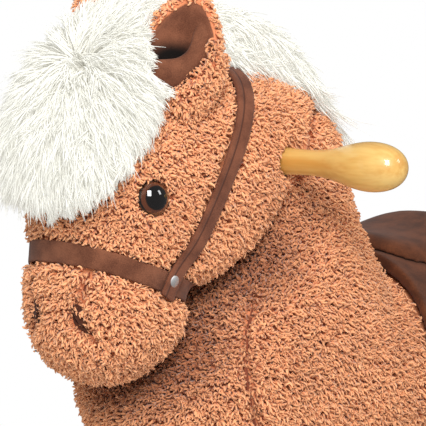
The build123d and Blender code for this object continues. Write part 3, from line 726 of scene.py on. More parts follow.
def curl_places(data, spacing, neighbours, form, where):
    """Places for curls, their normals, and their gaps to neighbours, seams and slits."""
    tree = tree_of(data[0], data[2])
    places, facing = scatter(data, spacing)
    if where is not None:
        places, facing = rows(where(places), places, facing)
    places, facing = rows(open_to_air(places, facing, tree), places, facing)
    gaps = gap_to(places, neighbours)
    if form == "stuffed_head":
        bare = past_hairline(places, UNDER_FORELOCK)
        bare = bare | (gap_to(places, ["forelock"]) > CLEAR_OF_FORMS)
        gaps = np.where(bare, gaps, 0)
    parting = distance_to(places, [tree.find_nearest(mark)[0] for mark in seams.get(form, ())])
    slit = distance_to(places, [tree.find_nearest(mark)[0] for mark in slits.get(form, ())])
    kept = (gaps > CLEAR_OF_FORMS) & (parting > CLEAR_OF_SEAM) & (slit > CLEAR_OF_SLIT)
    return rows(kept, places, facing, gaps, parting, slit)


# %% [markdown]
# Curls get shorter beside a strap or a seam. Waves over the skin make neighbours bunch up into tufts
# and vary the dye. The curls in seams, nostril slits and under the jaw get darker tones: painted
# shade, where little light comes in. One mesh for all would be slow to handle, so the curls are
# shared out over several pieces from back to front.

# %% Growing the coat
CURL_RADIUS = 0.00106
CURL_SWELL = np.array([0.85, 1.0, 1.0, 0.95, 0.75, 0.3])
CURL_WIDTH = (0.0009, 0.0021)
CURLS_PER_PIECE = 4800
SEAM_DEPTH = 0.003


def bunching(places):
    """From about -2 to 2: where neighbouring curls bunch up into a tuft."""
    x, y, z = places.T
    return np.sin(x * 760) * np.sin(y * 690 + 1) + np.sin(z * 820) * np.sin(x * 540 + 2)


def dye(places):
    """From about -6 to 6: slow changes of colour over the coat."""
    return np.sin(places * 61).sum(1) + np.sin(places[:, [1, 2, 0]] * 107 + 1).sum(1)


def grown(gaps, least, over):
    """The share of its full height that a curl has at this gap: the least one, and more over it."""
    return np.clip(least + gaps / over, 0, 1)


def grow_coat(label, data, sink, spacing, height, neighbours, form=None, where=None):
    """Curls all over a skin, or over a part of it, in pieces named by the label."""
    found = curl_places(data, spacing, neighbours, form, where)
    places, facing, gaps, parting, slit = found
    count = len(places)
    size = grown(gaps, 0.55, 0.012) * grown(parting, 0.45, 0.012) * grown(slit, 0.5, 0.016)
    seam_gap = np.minimum(parting, slit)
    tuft = bunching(places)
    roots = places - facing * (sink + close_by(seam_gap, 0.007) * SEAM_DEPTH)[:, None]
    heights = height * size * chance.uniform(0.75, 1.4, count) * (1 + 0.16 * tuft)
    paths = curl_paths(roots, facing, heights, chance.uniform(*CURL_WIDTH, count))
    thickness = chance.uniform(0.8, 1.25, count) * (0.6 + 0.4 * size)
    radii = CURL_RADIUS * CURL_SWELL * thickness[:, None]
    # Painted shade: curls in seams, nostril slits and under the jaw get darker tones.
    shade = 0.6 * close_by(seam_gap, 0.006)
    if form == "stuffed_body":
        shade = shade + 0.62 * jaw_crease(places, 1.7)
    tones = chance.normal(0.70, 0.09, count) + 0.03 * dye(places) + 0.05 * tuft - shade
    tones = np.clip(tones, 0, 1)
    order = np.argsort(places[:, 0], kind="stable")
    shared = np.array_split(order, max(1, math.ceil(count / CURLS_PER_PIECE)))
    for part, chosen in enumerate(shared):
        name = f"{label}_curls_{part}"
        piece = tubes(name, paths[chosen], radii[chosen], CURL_SIDES, tones[chosen], coat_pile)
    print(label, count, "curls in", len(shared), "pieces")


# %% [markdown]
# The head and the front of the body are seen from close by and get the finest pitch. The barrel
# behind the saddle's front edge has a wider one, because the file has to stay small enough to share.

# %% Coat of the head and body
COAT_SINK = 0.0045
BARREL_FROM = -0.05
LEGS = ["front_left", "front_right", "rear_left", "rear_right"]
SIDES = (("left", 1), ("right", -1))
GRIPS = ["handle_grip_left", "handle_grip_right"]
HEAD_NEIGHBOURS = ["stuffed_body", "mane", "noseband", "chin_strap", "headstall", "bridle_rivets"]
HEAD_NEIGHBOURS += ["eye_left", "eye_right", "ear_left", "ear_right"] + GRIPS
BODY_NEIGHBOURS = ["stuffed_head", "mane", "saddle_skirt", "saddle_cushion", "girth"] + GRIPS
BODY_NEIGHBOURS += ["stuffed_leg_" + leg for leg in LEGS]


def in_front(places):
    """True on the chest and the neck."""
    return places[:, 0] > BARREL_FROM


def behind(places):
    """True on the barrel and the rump."""
    return places[:, 0] <= BARREL_FROM


head_skin, head_data = dress(
    "stuffed_head", "head_skin", coat_skin, 0.0035, 8, COAT_SINK, reshape=draw_in
)
grow_coat("head", head_data, COAT_SINK, 0.0019, 0.0056, HEAD_NEIGHBOURS, "stuffed_head")
body_skin, body_data = dress(
    "stuffed_body", "body_skin", coat_skin, 0.0045, 8, COAT_SINK, reshape=under_jaw
)
for label, spacing, height, where in (
    ("chest", 0.0020, 0.0056, in_front),
    ("barrel", 0.0031, 0.0062, behind),
):
    grow_coat(
        label, body_data, COAT_SINK, spacing, height, BODY_NEIGHBOURS, "stuffed_body", where
    )

# %% [markdown]
# ## Sewn lines
# In a parting the backing shows, and each nostril is a fold of dark felt. A painted line would vanish
# between the curls. So each is a thin tube that lies on the skin along the marks from the photo and
# runs out to nothing at both ends. The tubes of the seams are dark with painted shade, the shade
# that fills a parting.


# %% Sewn lines
def seam_lines(name, skin, marks, radius, material, node):
    """A thin dark line on a skin along marks that were cast back from the photo, on both sides."""
    skin_tree = tree_of(*vertex_data(skin.data)[::2])
    for first, (side_name, _) in enumerate(SIDES):
        line = np.array([skin_tree.find_nearest(mark)[0] for mark in marks[first::2]])
        swell = np.sqrt(np.maximum(1 - np.linspace(-1, 1, len(line)) ** 2, 0.02))
        thickness = radius * swell
        made = tubes(
            f"{name}_{side_name}", line[None], thickness[None], 8, np.ones(1), material
        )
        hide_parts(node)
    print(name, len(marks) // 2, "marks on each side")


seam_lines(
    "nostril_fold", head_skin, slits["stuffed_head"], 0.0021, dark_felt, "nostrils"
)
# Painted shade: the seam tubes are dark where their partings lie in shade.
seam_lines(
    "muzzle_seam", head_skin, seams["stuffed_head"], 0.0012, seam_shade_cloth, "stuffed_head"
)
seam_lines(
    "chest_seam", body_skin, seams["stuffed_body"], 0.0018, seam_shade_cloth, "stuffed_body"
)

# %% [markdown]
# ## Coat of the legs and ears
# The legs are stuffed like the body, so they are padded forms with the same coat at a wider pitch.
# The ears are one layer of plush, not stuffed: their skin hardly sinks and their curls are short.

# %% Coat of the legs and ears
for leg in LEGS:
    leg_skin, leg_data = dress(
        "stuffed_leg_" + leg, "leg_skin_" + leg, coat_skin, 0.003, 6, COAT_SINK
    )
    leg_neighbours = ["stuffed_body", "hoof_" + leg, "post_" + leg]
    grow_coat("leg_" + leg, leg_data, COAT_SINK, 0.0031, 0.0060, leg_neighbours)
for side_name, _ in SIDES:
    ear_skin, ear_data = dress(
        "ear_" + side_name, "ear_skin_" + side_name, coat_skin, 0.0013, 5, 0.0006
    )
    ear_neighbours = ["stuffed_head", "ear_lining_" + side_name, "forelock", "mane"]
    grow_coat("ear_" + side_name, ear_data, 0.0008, 0.0023, 0.0034, ear_neighbours)

# %% [markdown]
# ## Mane, forelock and tail
# The white pile is long and straight and holds together in small locks. Single strands, evenly
# spread, would look like a brush. So a lock is a bundle of thin strands that leave the skin together
# and draw closer towards their tips. The forelock spreads from a whorl on the forehead, the mane
# falls from the crest to both sides, and the tail hangs. A strand that would end far outside its CAD
# form is cut shorter.

# %% Where the locks go
WHORL_PIXEL = (84, 52)
CREST_WIDTH = 0.01
whorl_hit = node_trees["forelock"].ray_cast(camera_place, pixel_way(*WHORL_PIXEL))[0]
WHORL = np.array([whorl_hit.x, 0.0, whorl_hit.z])


def from_whorl(places):
    """Away from the whorl on the forehead."""
    return unit(places - WHORL)


def from_crest(places):
    """Backwards and down, to the side of the crest that a place is on."""
    sides = np.tanh(places[:, 1] / CREST_WIDTH)
    level = np.full(len(places), -0.5)
    return np.stack([level, 0.6 * sides, level], -1)


def downwards(places):
    """Down, and a little back."""
    return np.tile(np.array([-0.05, 0.0, -1.0]), (len(places), 1))


def nowhere(tips, _slack):
    """For pile that has no hairline."""
    return np.zeros(len(tips), dtype=bool)


print("whorl at", np.round(WHORL, 3))

# %% [markdown]
# The backing of the white pile is cut off a little above the hairline, so that only strands hang
# over the edge, as they do on real long pile.

# %% Lengths of the locks
TRIMMED_BACK = -0.011
LOCK_SLACK = (-0.004, 0.005)
SHORTENINGS = 7
SHORTER = 0.8
CLEAR_OF_EARS = 0.005


def outside_by(points, tree):
    """How far each point lies outside a form; negative inside."""
    values = []
    for point in points:
        spot, way, _, gap = tree.find_nearest(Vector(point))
        values.append(gap if (Vector(point) - spot).dot(way) > 0 else -gap)
    return np.array(values)


def trim(mesh, stop):
    """Takes away the faces of a skin that lie where its locks have to stop."""
    middles = np.zeros(len(mesh.polygons) * 3)
    mesh.polygons.foreach_get("center", middles)
    gone = np.flatnonzero(stop(middles.reshape(-1, 3), TRIMMED_BACK))
    shape = bmesh.new()
    shape.from_mesh(mesh)
    shape.faces.ensure_lookup_table()
    bmesh.ops.delete(shape, geom=[shape.faces[index] for index in gone], context="FACES")
    shape.to_mesh(mesh)
    shape.free()


def fitting_reach(node, roots, facing, way, reach, lift, slack, proud, keep_off, stop):
    """The reach of each lock, shortened until its tip is in bounds."""
    for _ in range(SHORTENINGS):
        tips = roots + way * reach[:, None] + facing * (lift * reach)[:, None] * 0.5
        far = outside_by(tips, node_trees[node]) > slack + proud
        near = gap_to(tips, keep_off) < CLEAR_OF_EARS
        reach = np.where(far | near | stop(tips, slack), reach * SHORTER, reach)
    return reach


# %% [markdown]
# A strand leaves the skin upwards, bends over and sags a little under its own weight. Simulated hair
# would find this too, but it takes minutes and a collision with every curl. A short formula along
# the strand is enough for pile that is only a few centimetres long.

# %% Strands of a lock
STRAND_RADIUS = 0.00050
STRAND_TAPER = np.array([1.0, 1.0, 0.9, 0.66, 0.16])
STRAND_SAG = np.array([0, 0, 0.12])
STRAND_SIDES = 3
STRAND_DRIFT = 0.10
STRANDS_PER_PIECE = 6400
LOCK_WIDTH = 0.42


def strand_paths(roots, ways, outward, lengths, lift, apart, drift):
    """Paths that rise, bend over, draw together and sag a little."""
    share = np.linspace(0, 1, len(STRAND_TAPER))[None, :, None]
    long = lengths[:, None, None]
    rise = outward[:, None] * long * lift * share * (1.2 - 0.7 * share)
    paths = roots[:, None] + ways[:, None] * long * share + rise
    paths = paths + apart[:, None] * (1 - 0.5 * share) + drift[:, None] * long * share**2
    return paths - STRAND_SAG * long * share**2


def lock_strands(node, roots, way, facing, reach, spacing, lift, strands, body):
    """The strands of all the locks of a node, shared out over several pieces."""
    count = len(roots) * strands
    apart = chance.normal(0, spacing * LOCK_WIDTH, (count, 3))
    lengths = np.repeat(reach, strands) * chance.uniform(0.75, 1.08, count)
    drift = chance.normal(0, STRAND_DRIFT, (count, 3))
    bundles = [np.repeat(values, strands, 0) for values in (roots, way, facing)]
    paths = strand_paths(*bundles, lengths, lift, apart, drift)
    radii = STRAND_RADIUS * STRAND_TAPER * chance.uniform(0.7, 1.2, count)[:, None]
    lock_tones = np.repeat(chance.uniform(0.2, 1, len(roots)), strands)
    tones = np.clip(lock_tones + chance.normal(0, 0.15, count), 0, 1)
    shared = np.array_split(np.arange(count), math.ceil(count / STRANDS_PER_PIECE))
    for part, chosen in enumerate(shared):
        name = f"{node}_locks_{part}"
        strand_set = paths[chosen], radii[chosen], STRAND_SIDES, tones[chosen]
        made = tubes(name, *strand_set, white_pile, body)
    print(node, count, "strands in", len(shared), "pieces")


# %% [markdown]
# Each lock lies along the flow of its piece, pressed to the skin and then ruffled by chance. The more
# wild a piece is, the more its locks cross.

# %% Growing the locks
CLEAR_OF_SKIN = 0.002
SHORTEST_LOCK = 0.2


def grow_locks(
    node, flow, sink, spacing, length, lift, strands, wild, neighbours,
    keep_off=(), proud=0.0, stop=nowhere, body="horse",
):
    """White locks all over a node, lying along the flow, more or less wild."""
    skin, data = dress(node, node + "_skin", white_skin, 0.003, 8, sink, body)
    trim(skin.data, stop)
    places, facing = scatter(data, spacing)
    places, facing = rows(gap_to(places, neighbours) > CLEAR_OF_SKIN, places, facing)
    way = flow(places)
    way = unit(way - facing * (way * facing).sum(1, keepdims=True))
    way = unit(way + chance.normal(0, wild, places.shape))
    reach = length * chance.uniform(0.75, 1.2, len(places))
    slack = chance.uniform(*LOCK_SLACK, len(places))
    roots = places - facing * sink
    reach = fitting_reach(node, roots, facing, way, reach, lift, slack, proud, keep_off, stop)
    kept = (reach > length * SHORTEST_LOCK) & ~stop(places, slack)
    roots, way, facing, reach = rows(kept, roots, way, facing, reach)
    lock_strands(node, roots, way, facing, reach, spacing, lift, strands, body)


# %% Forelock, mane and tail
EARS = ["ear_left", "ear_right", "ear_lining_left", "ear_lining_right"]
grow_locks(
    "forelock",
    from_whorl,
    sink=0.008,
    spacing=0.0042,
    length=0.040,
    lift=0.72,
    strands=16,
    wild=0.34,
    neighbours=["stuffed_head", "headstall"],
    keep_off=EARS,
    proud=0.010,
    stop=past_hairline,
)
grow_locks(
    "mane",
    from_crest,
    sink=0.008,
    spacing=0.0045,
    length=0.034,
    lift=0.52,
    strands=14,
    wild=0.46,
    neighbours=["stuffed_head", "stuffed_body"],
    keep_off=EARS,
)
grow_locks(
    "tail",
    downwards,
    sink=0.010,
    spacing=0.0050,
    length=0.060,
    lift=0.12,
    strands=9,
    wild=0.22,
    neighbours=["stuffed_body"],
    body="tail",
)

# %% [markdown]
# ## Stitched strap
# The headstall has a line of stitching a third of the way from its front edge. Real stitches would be
# too small to see from here. So a stripe in the material stands for it: a slightly sunk groove,
# darkened with painted shade, at a fixed distance from the plane that the strap lies in.

# %% Stitched velour
RIVET = Vector((0.190, 0.0, 0.338))
STRAP_TILT = math.radians(32)
STITCHES_AT = 0.0026
STITCHES_WIDE = (0.0004, 0.0011)


def stitched_velour():
    """Strap velour with a groove where it is stitched, darkened with painted shade."""
    made, wire, shader = new_material("stitched_velour", CLOTH_FEEL)
    place = wire.node("ShaderNodeTexCoord", output="Object")
    normal = (math.cos(STRAP_TILT), 0, math.sin(STRAP_TILT))
    offset = wire.vector("DOT_PRODUCT", place, normal, output="Value")
    across = offset - RIVET.dot(Vector(normal))
    away = wire.sum("ABSOLUTE", across - STITCHES_AT)
    groove = 1.0 - away.between(*STITCHES_WIDE)
    shade, fibres = rubbed(wire, colour(80, 43, 28), colour(122, 73, 51), VELOUR_GRAIN)
    # Painted shade: the groove is darkened towards a deep brown.
    wire.join(shader["Base Color"], wire.mix(groove * 0.7, shade, colour(58, 28, 18)))
    wire.join(shader["Normal"], bump(wire, fibres * 0.4 - groove, 0.4))
    return made


stitched = stitched_velour()
print(stitched.name, "with its groove", STITCHES_AT, "m from the strap's middle")

# %% [markdown]
# ## Lining of the ear
# The ear's lining folds into a pocket, and almost no light reaches its bottom. The renderer alone
# leaves it too pale, since the CAD pocket is shallow. So the velour gets darker towards the pocket's
# place in the photo.

# %% Pocket velour
POCKET_PIXEL = (172, 58)
POCKET_FLAT = (0.55, 0.55, 1)
POCKET_EDGE = (0.004, 0.017)


def pocket_velour(side_name, side):
    """Velour that is darkest at the bottom of the ear's pocket, where no light gets in."""
    made, wire, shader = new_material("pocket_velour_" + side_name, CLOTH_FEEL)
    hit = node_trees["ear_lining_left"].ray_cast(camera_place, pixel_way(*POCKET_PIXEL))[0]
    place = wire.node("ShaderNodeTexCoord", output="Object")
    arm = wire.vector("SUBTRACT", place, (hit.x, side * hit.y, hit.z))
    flat_arm = wire.vector("MULTIPLY", arm, POCKET_FLAT)
    away = wire.vector("LENGTH", flat_arm, output="Value")
    shade, fibres = rubbed(wire, colour(84, 46, 30), colour(130, 80, 57), VELOUR_GRAIN)
    lit = wire.mix(away.between(*POCKET_EDGE), colour(14, 7, 5), shade)
    wire.join(shader["Base Color"], lit)
    wire.join(shader["Normal"], bump(wire, fibres, NAP_RELIEF))
    return made


linings = {side_name: pocket_velour(side_name, side) for side_name, side in SIDES}
print([made.name for made in linings.values()])

# %% [markdown]
# ## Straps, saddle and hooves
# These are cloth over a firm shape, so the CAD shapes themselves are shown, rebuilt on a finer grid
# and smoothed just enough to round their edges. Only the saddle's cushion is padded.

# %% Cloth pieces
cloth_pieces = {
    "noseband": (velour, 0.0011, 3, "brown_velour"),
    "chin_strap": (velour, 0.0011, 3, "brown_velour"),
    "headstall": (stitched, 0.0011, 3, "brown_velour"),
    "girth": (velour, 0.0012, 3, "brown_velour"),
    "ear_lining_left": (linings["left"], 0.0010, 6, "brown_velour"),
    "ear_lining_right": (linings["right"], 0.0010, 6, "brown_velour"),
    "saddle_skirt": (saddle_cloth, 0.0022, 3, "saddle_cloth"),
    "saddle_cushion": (saddle_cloth, 0.0026, 8, "saddle_cloth"),
    "nostrils": (dark_felt, 0.0010, 3, "nostril_cloth"),
}
for leg in LEGS:
    cloth_pieces["hoof_" + leg] = (velour, 0.0022, 4, "brown_velour")
for node, (material, voxel, rounds, record_slot) in cloth_pieces.items():
    reshape = draw_in if node in DRAWN_IN else None
    made, _ = dress(node, node + "_cloth", material, voxel, rounds, reshape=reshape)
    node == "saddle_cushion"
print(len(cloth_pieces), "cloth pieces")

# %% [markdown]
# ## The ear's rolled lip
# The lower half of each ear rolls forwards and makes a pocket, and the plush of the head climbs over
# the root of the ear. Sculpting would give any such form, but not the same one twice. Both edges are
# clear lines in the photo. A sheet is stretched between two such lines, in the plane of the ear's
# rim, and given its roll by a profile of distances from that plane. The second ear is its mirror
# image.

# %% Lines of the ear
EAR_RIM_AT = 0.004
LIP_TOP = [(140, 60), (158, 59.5), (176, 58), (186, 52), (191, 43), (194, 32), (200, 20)]
LIP_FOOT = [(137, 80), (150, 91), (163, 95), (184, 85), (200, 69), (210, 51), (213, 34)]
ROOT_FOOT = [(137, 104), (150, 120), (168, 130), (190, 122), (207, 104), (218, 82), (222, 60)]
LIP_ROLL = [(0.16, -0.008), (0.05, -0.004), (0.0, 0.0005), (0.05, 0.004)]
LIP_ROLL += [(0.3, 0.007), (0.6, 0.007), (0.85, 0.004), (1.0, 0.000)]
ROOT_ROLL = [(-0.1, -0.004), (0.0, 0.000), (0.2, 0.002), (0.5, 0.002), (0.8, -0.003), (1.0, -0.009)]


def along_line(pixels, count):
    """Points evenly spaced by number along a line of pixels, smoothed by a spline."""
    known = np.array(pixels, dtype=float)
    last = len(known) - 1
    wanted = np.linspace(0, last, count)
    index = np.clip(wanted.astype(int), 0, last - 1)
    part = (wanted - index)[:, None]
    around = (known[np.clip(index + step, 0, last)] for step in (-1, 0, 1, 2))
    before, start, end, after = around
    bend = 2 * before - 5 * start + 4 * end - after
    twist = 3 * (start - end) + after - before
    return start + 0.5 * part * (end - before + part * (bend + part * twist))


print("lip profile of", len(LIP_ROLL), "steps, root profile of", len(ROOT_ROLL))

# %% Sheet of an ear
SHEET_COLUMNS = 40
SHEET_ROWS = 25
SHEET_THICKNESS = 0.002


def ear_points(top, foot, roll, flare):
    """Rows of points between two lines of pixels, rolled out of the ear's rim plane."""
    tops, feet = along_line(top, SHEET_COLUMNS), along_line(foot, SHEET_COLUMNS)
    eye_point = np.array(camera_place)
    points = []
    for down, out in along_line(roll, SHEET_ROWS):
        for column in range(SHEET_COLUMNS):
            x, y = tops[column] + (feet[column] - tops[column]) * down
            way = np.array(pixel_way(x, y))
            offset = out * (1 - flare * (column / (SHEET_COLUMNS - 1)) ** 2)
            rim = (EAR_ROOT - eye_point) @ EAR_OUT + EAR_RIM_AT
            points.append(eye_point + way * ((rim + offset) / (way @ EAR_OUT)))
    return np.array(points)


def ear_sheet(name, top, foot, roll, flare, side, material):
    """A thick sheet between two lines of pixels, and the data of its outer face."""
    faces = []
    for row in range(SHEET_ROWS - 1):
        for column in range(SHEET_COLUMNS - 1):
            corner = row * SHEET_COLUMNS + column
            below = corner + SHEET_COLUMNS
            face = (corner, below, below + 1, corner + 1)
            faces.append(face if side > 0 else face[::-1])
    mesh = bpy.data.meshes.new(name)
    mesh.from_pydata(ear_points(top, foot, roll, flare) * (1, side, 1), [], faces)
    data = vertex_data(mesh)
    shape = bmesh.new()
    shape.from_mesh(mesh)
    bmesh.ops.solidify(shape, geom=shape.faces[:], thickness=SHEET_THICKNESS)
    shape.to_mesh(mesh)
    shape.free()
    mesh.shade_smooth()
    mesh.materials.append(material)
    return object_from(name, mesh), data


# %% [markdown]
# The lip is velour like the lining, and it flattens towards the ear's tip. The root below it is plush,
# so it gets curls of its own, longer than those on the back of the ear.

# %% Ear lips
LIP_FLARE = 0.75
for side_name, side in SIDES:
    lip_name = "ear_lip_" + side_name
    lip, _ = ear_sheet(lip_name, LIP_TOP, LIP_FOOT, LIP_ROLL, LIP_FLARE, side, velour)
    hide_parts("ear_lining_" + side_name)
    root_name = "ear_root_" + side_name
    root, root_data = ear_sheet(root_name, LIP_FOOT, ROOT_FOOT, ROOT_ROLL, 0.0, side, coat_skin)
    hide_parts("ear_" + side_name)
    grow_coat(root_name, root_data, 0.0, 0.0019, 0.0046, ["headstall"])

# %% [markdown]
# ## Turned and moulded pieces
# The grips, the eyes and the rivet caps are round about an axis, as a lathe or a mould makes them. The
# CAD meshes could be smoothed, but a coarse mesh breaks up their clean highlights. A fine lathe of
# the profile keeps them.

# %% Lathe
CENTRE_HOLE = 1e-6


def lathe(name, origin, axis, profile, material, around=72):
    """A turned mesh from (height, radius) pairs along an axis."""
    axis = Vector(axis).normalized()
    first = axis.orthogonal().normalized()
    second = axis.cross(first)
    points = []
    for height, radius in profile:
        for step in range(around):
            angle = 2 * math.pi * step / around
            spoke = first * math.cos(angle) + second * math.sin(angle)
            points.append(Vector(origin) + axis * height + spoke * radius)
    faces = []
    for row in range(len(profile) - 1):
        low, high = row * around, (row + 1) * around
        for step in range(around):
            turned = (step + 1) % around
            faces.append((low + step, low + turned, high + turned, high + step))
    mesh = bpy.data.meshes.new(name)
    mesh.from_pydata(points, [], faces)
    mesh.shade_smooth()
    mesh.materials.append(material)
    return object_from(name, mesh)


# %% [markdown]
# An eye and a rivet look out of the head at an angle. That angle could be copied from the part's
# source, but it would be wrong once the part changes. It is read from the CAD mesh instead: the flat
# faces of a turned piece all look along its axis.

# %% Axis of a turned piece
SAME_WAY = 0.9999


def flat_faces(node, side):
    """Corners and outward direction of the largest flat faces on one side of a node."""
    points, _, triangles = vertex_data(nodes[node].data)
    corners = points[triangles]
    corners = corners[np.sign(corners[:, :, 1].mean(1)) == side]
    crossed = np.cross(corners[:, 1] - corners[:, 0], corners[:, 2] - corners[:, 0])
    areas = np.linalg.norm(crossed, axis=1)
    ways = crossed / np.maximum(areas, 1e-12)[:, None]
    best = max(range(len(ways)), key=lambda index: areas[(ways @ ways[index]) > SAME_WAY].sum())
    flat = (ways @ ways[best]) > SAME_WAY
    way = unit((ways[flat] * areas[flat][:, None]).sum(0))
    return corners[flat].reshape(-1, 3), way if way[1] * side > 0 else -way


def middle_of(points):
    """The middle of the box round some points."""
    return (points.min(0) + points.max(0)) / 2


print("rivets look along", np.round(flat_faces("bridle_rivets", 1)[1], 2))

# %% [markdown]
# The grips are turned from one piece of wood: a straight neck that swells into a round end. Their
# profile is read from the CAD mesh, row by row, without the bore for the rod.

# %% Grips
HANDLE = Vector((0.070, 0.0, 0.415))
BORE_UP_TO = 0.009
ROUND_END_FROM = 0.155
PROFILE_ROWS = 140
for side_name, side in SIDES:
    node = "handle_grip_" + side_name
    points = vertex_data(nodes[node].data)[0]
    heights = np.round(points[:, 1] * side, 4)
    radii = np.hypot(points[:, 0] - HANDLE.x, points[:, 2] - HANDLE.z)
    widest = {}
    for height, radius in zip(heights, radii):
        widest[height] = max(widest.get(height, 0), radius)
    outside = [row for row in sorted(widest.items()) if row[1] > BORE_UP_TO or row[0] > ROUND_END_FROM]
    known = np.array(outside)
    ease = np.sin(np.linspace(0, math.pi / 2, PROFILE_ROWS))
    wanted = known[0, 0] + (known[-1, 0] - known[0, 0]) * ease
    profile = list(zip(wanted, np.interp(wanted, known[:, 0], known[:, 1])))
    profile.append((known[-1, 0], CENTRE_HOLE))
    grip = lathe(f"grip_{side_name}", HANDLE, (0, side, 0), profile, grip_wood, 96)
    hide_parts(node)
print("grips from", len(known), "profile rows")

# %% [markdown]
# The eyes are moulded domes of black plastic with a dark brown ring near the rim, under a clear gloss.
# The ring could be its own mesh, but it is moulded flush, so the material draws it by the distance
# from the eye's axis.

# %% Eyes
EYE_RADIUS = 0.0123
EYE_HEIGHT = 0.0070
DOME_RADIUS = (EYE_RADIUS**2 + EYE_HEIGHT**2) / (2 * EYE_HEIGHT)
EYE_FEEL = {"Roughness": 0.05, "Coat Weight": 1.0, "Coat Roughness": 0.02}
RING_STARTS = (0.0080, 0.0090)
RING_ENDS = (0.0106, 0.0112)


def eye_material(side_name, centre, way):
    """Glossy black with a brown ring round the eye's axis."""
    made, wire, shader = new_material("eye_" + side_name, EYE_FEEL)
    place = wire.node("ShaderNodeTexCoord", output="Object")
    arm = wire.vector("SUBTRACT", place, centre)
    radius = wire.vector("LENGTH", wire.vector("CROSS_PRODUCT", arm, way), output="Value")
    ring = radius.between(*RING_STARTS) * (1.0 - radius.between(*RING_ENDS))
    black = (0.004, 0.003, 0.003, 1)
    wire.join(shader["Base Color"], wire.mix(ring, black, colour(84, 44, 26)))
    return made


for side_name, side in SIDES:
    node = "eye_" + side_name
    spots, way = flat_faces(node, side)
    centre = middle_of(spots[(spots - spots.mean(0)) @ way > 0])
    profile = []
    for share in np.linspace(1, 0, 40):
        radius = EYE_RADIUS * share
        height = math.sqrt(DOME_RADIUS**2 - radius**2) - DOME_RADIUS + EYE_HEIGHT
        profile.append((height, max(radius, CENTRE_HOLE)))
    look = eye_material(side_name, tuple(centre), tuple(way))
    eye = lathe(f"eye_dome_{side_name}", centre, way, profile, look)
    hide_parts(node)
    print(node, "at", np.round(centre, 4), "looks", np.round(way, 2))

# %% [markdown]
# A tubular rivet with a low domed cap holds the straps together where they cross, once on each side.
# Only the cap shows, so only the cap is turned.

# %% Rivets
RIVET_RADIUS = 0.0050
RIVET_HEIGHT = 0.0022
RIVET_EDGE = 0.0002
RIVET_SUNK = 0.0016
RIVET_CROWN = 0.96
SAME_LEVEL = 0.0002
for _, side in SIDES:
    spots, way = flat_faces("bridle_rivets", side)
    levels = spots @ way
    centre = middle_of(spots[levels > levels.max() - SAME_LEVEL]) - way * RIVET_SUNK
    profile = [(0.0, RIVET_RADIUS)]
    for share in np.linspace(1, 0, 16):
        height = RIVET_EDGE + RIVET_HEIGHT * math.sqrt(1 - RIVET_CROWN * share**2)
        profile.append((height, max(RIVET_RADIUS * share, CENTRE_HOLE)))
    cap = lathe(f"rivet_cap_{side}", centre, way, profile, steel, 48)
    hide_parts("bridle_rivets")
    print("rivet at", np.round(centre, 4))

# %% [markdown]
# ## Base
# Runners, slats and footrest are plain boards with eased edges, which the CAD part already has. So the
# CAD meshes are shown as they are, with wood on them. Hidden boards get wood too, and the hidden
# hardware plain steel, with plastic for the eye washers.

# %% Boards and hidden pieces
washer_feel = {"Roughness": 0.5, "Base Color": (0.7, 0.7, 0.7, 1)}
washer_plastic = new_material("washer_plastic", washer_feel)[0]
long_boards = ["runner_left", "runner_right", "seat_board", "neck_board", "neck_cleats"]
long_boards += ["post_" + leg for leg in LEGS]
cross_boards = ["front_slat", "rear_slat", "footrest_board"]
hardware = ["board_screws", "seat_board_screws", "cleat_screws", "leg_bolts", "leg_washers"]
hardware += ["handle_rod", "rod_nuts"]
for material, names in (
    (runner_wood, long_boards),
    (slat_wood, cross_boards),
    (steel, hardware),
    (washer_plastic, ["eye_washers"]),
):
    for name in names:
        nodes[name].data.materials.clear()
        nodes[name].data.materials.append(material)
    print(material.name, "on", len(names), "nodes")

# %% [markdown]
# ## Light
# The photo is a cut-out on white, lit softly by two windows that show in the eye and in the grip. A
# picture of a room could light the scene, but two softboxes stand for the windows just as well. The
# larger one is beside the camera and the smaller one to its right.

# %% Windows
HEAD_MIDDLE = Vector((0.16, 0.03, 0.39))
WINDOW_RISE = Vector((0, 0, 0.7))


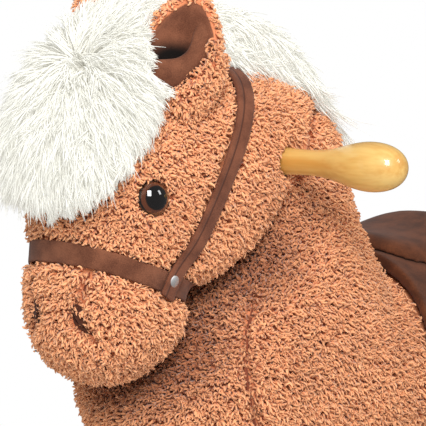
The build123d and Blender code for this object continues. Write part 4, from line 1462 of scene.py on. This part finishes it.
def softbox(name, back, right, width, height, power):
    """A soft rectangular lamp that looks at the head from a place given in the camera's frame."""
    light = bpy.data.lights.new(name, "AREA")
    light.shape = "RECTANGLE"
    light.size = width
    light.size_y = height
    light.energy = power
    made = bpy.data.objects.new(name, light)
    bpy.context.scene.collection.objects.link(made)
    made.location = HEAD_MIDDLE + backwards * back + rightwards * right + WINDOW_RISE
    made.rotation_euler = (HEAD_MIDDLE - made.location).to_track_quat("-Z", "Y").to_euler()
    print(name, [round(value, 2) for value in made.location])


softbox("left_window", back=1.2, right=0.1, width=0.5, height=0.8, power=22)
softbox("right_window", back=0.35, right=1.2, width=0.3, height=0.5, power=3.6)

# %% [markdown]
# ## Background
# A pale world fills the shadows. The camera sees that world as plain white, and glossy pieces see it
# dim, so that only the two windows show in the eye and in the varnish, as they do in the photo. The
# floor is a pale disc that keeps the shadow of the horse.

# %% World and floor
FILL = 0.64
MIRRORED = 0.18
FLOOR_RADIUS = 0.9
FLOOR_CORNERS = 96
FLOOR_BELOW = 0.0005
world = bpy.data.worlds.new("studio")
bpy.context.scene.world = world
world.use_nodes = True
world.node_tree.nodes.clear()
sky = Wire(world.node_tree)


def pale(strength):
    """White light of one strength from all round."""
    values = {"Color": (1, 1, 1, 1), "Strength": strength}
    return sky.node("ShaderNodeBackground", sockets=values)


mirrored = sky.node("ShaderNodeLightPath", output="Is Glossy Ray")
seen = sky.node("ShaderNodeLightPath", output="Is Camera Ray")
around = sky.node("ShaderNodeMixShader", sockets={0: mirrored, 1: pale(FILL), 2: pale(MIRRORED)})
shown = sky.node("ShaderNodeMixShader", sockets={0: seen, 1: around, 2: pale(1.0)})
sky.node("ShaderNodeOutputWorld", sockets={"Surface": shown})

angles = np.linspace(0, 2 * math.pi, FLOOR_CORNERS + 1)[:-1]
rim = [(FLOOR_RADIUS * math.cos(a), FLOOR_RADIUS * math.sin(a), 0) for a in angles]
floor_mesh = bpy.data.meshes.new("floor")
floor_mesh.from_pydata(rim, [], [tuple(range(FLOOR_CORNERS))])
floor_feel = {"Roughness": 0.8, "Base Color": (0.86, 0.86, 0.86, 1)}
floor_mesh.materials.append(new_material("floor", floor_feel)[0])
floor = bpy.data.objects.new("floor", floor_mesh)
bpy.context.scene.collection.objects.link(floor)
floor.location.z = -FLOOR_BELOW
floor.visible_glossy = False
bpy.context.scene.view_settings.view_transform = "Standard"
print("floor", 2 * FLOOR_RADIUS, "m across")
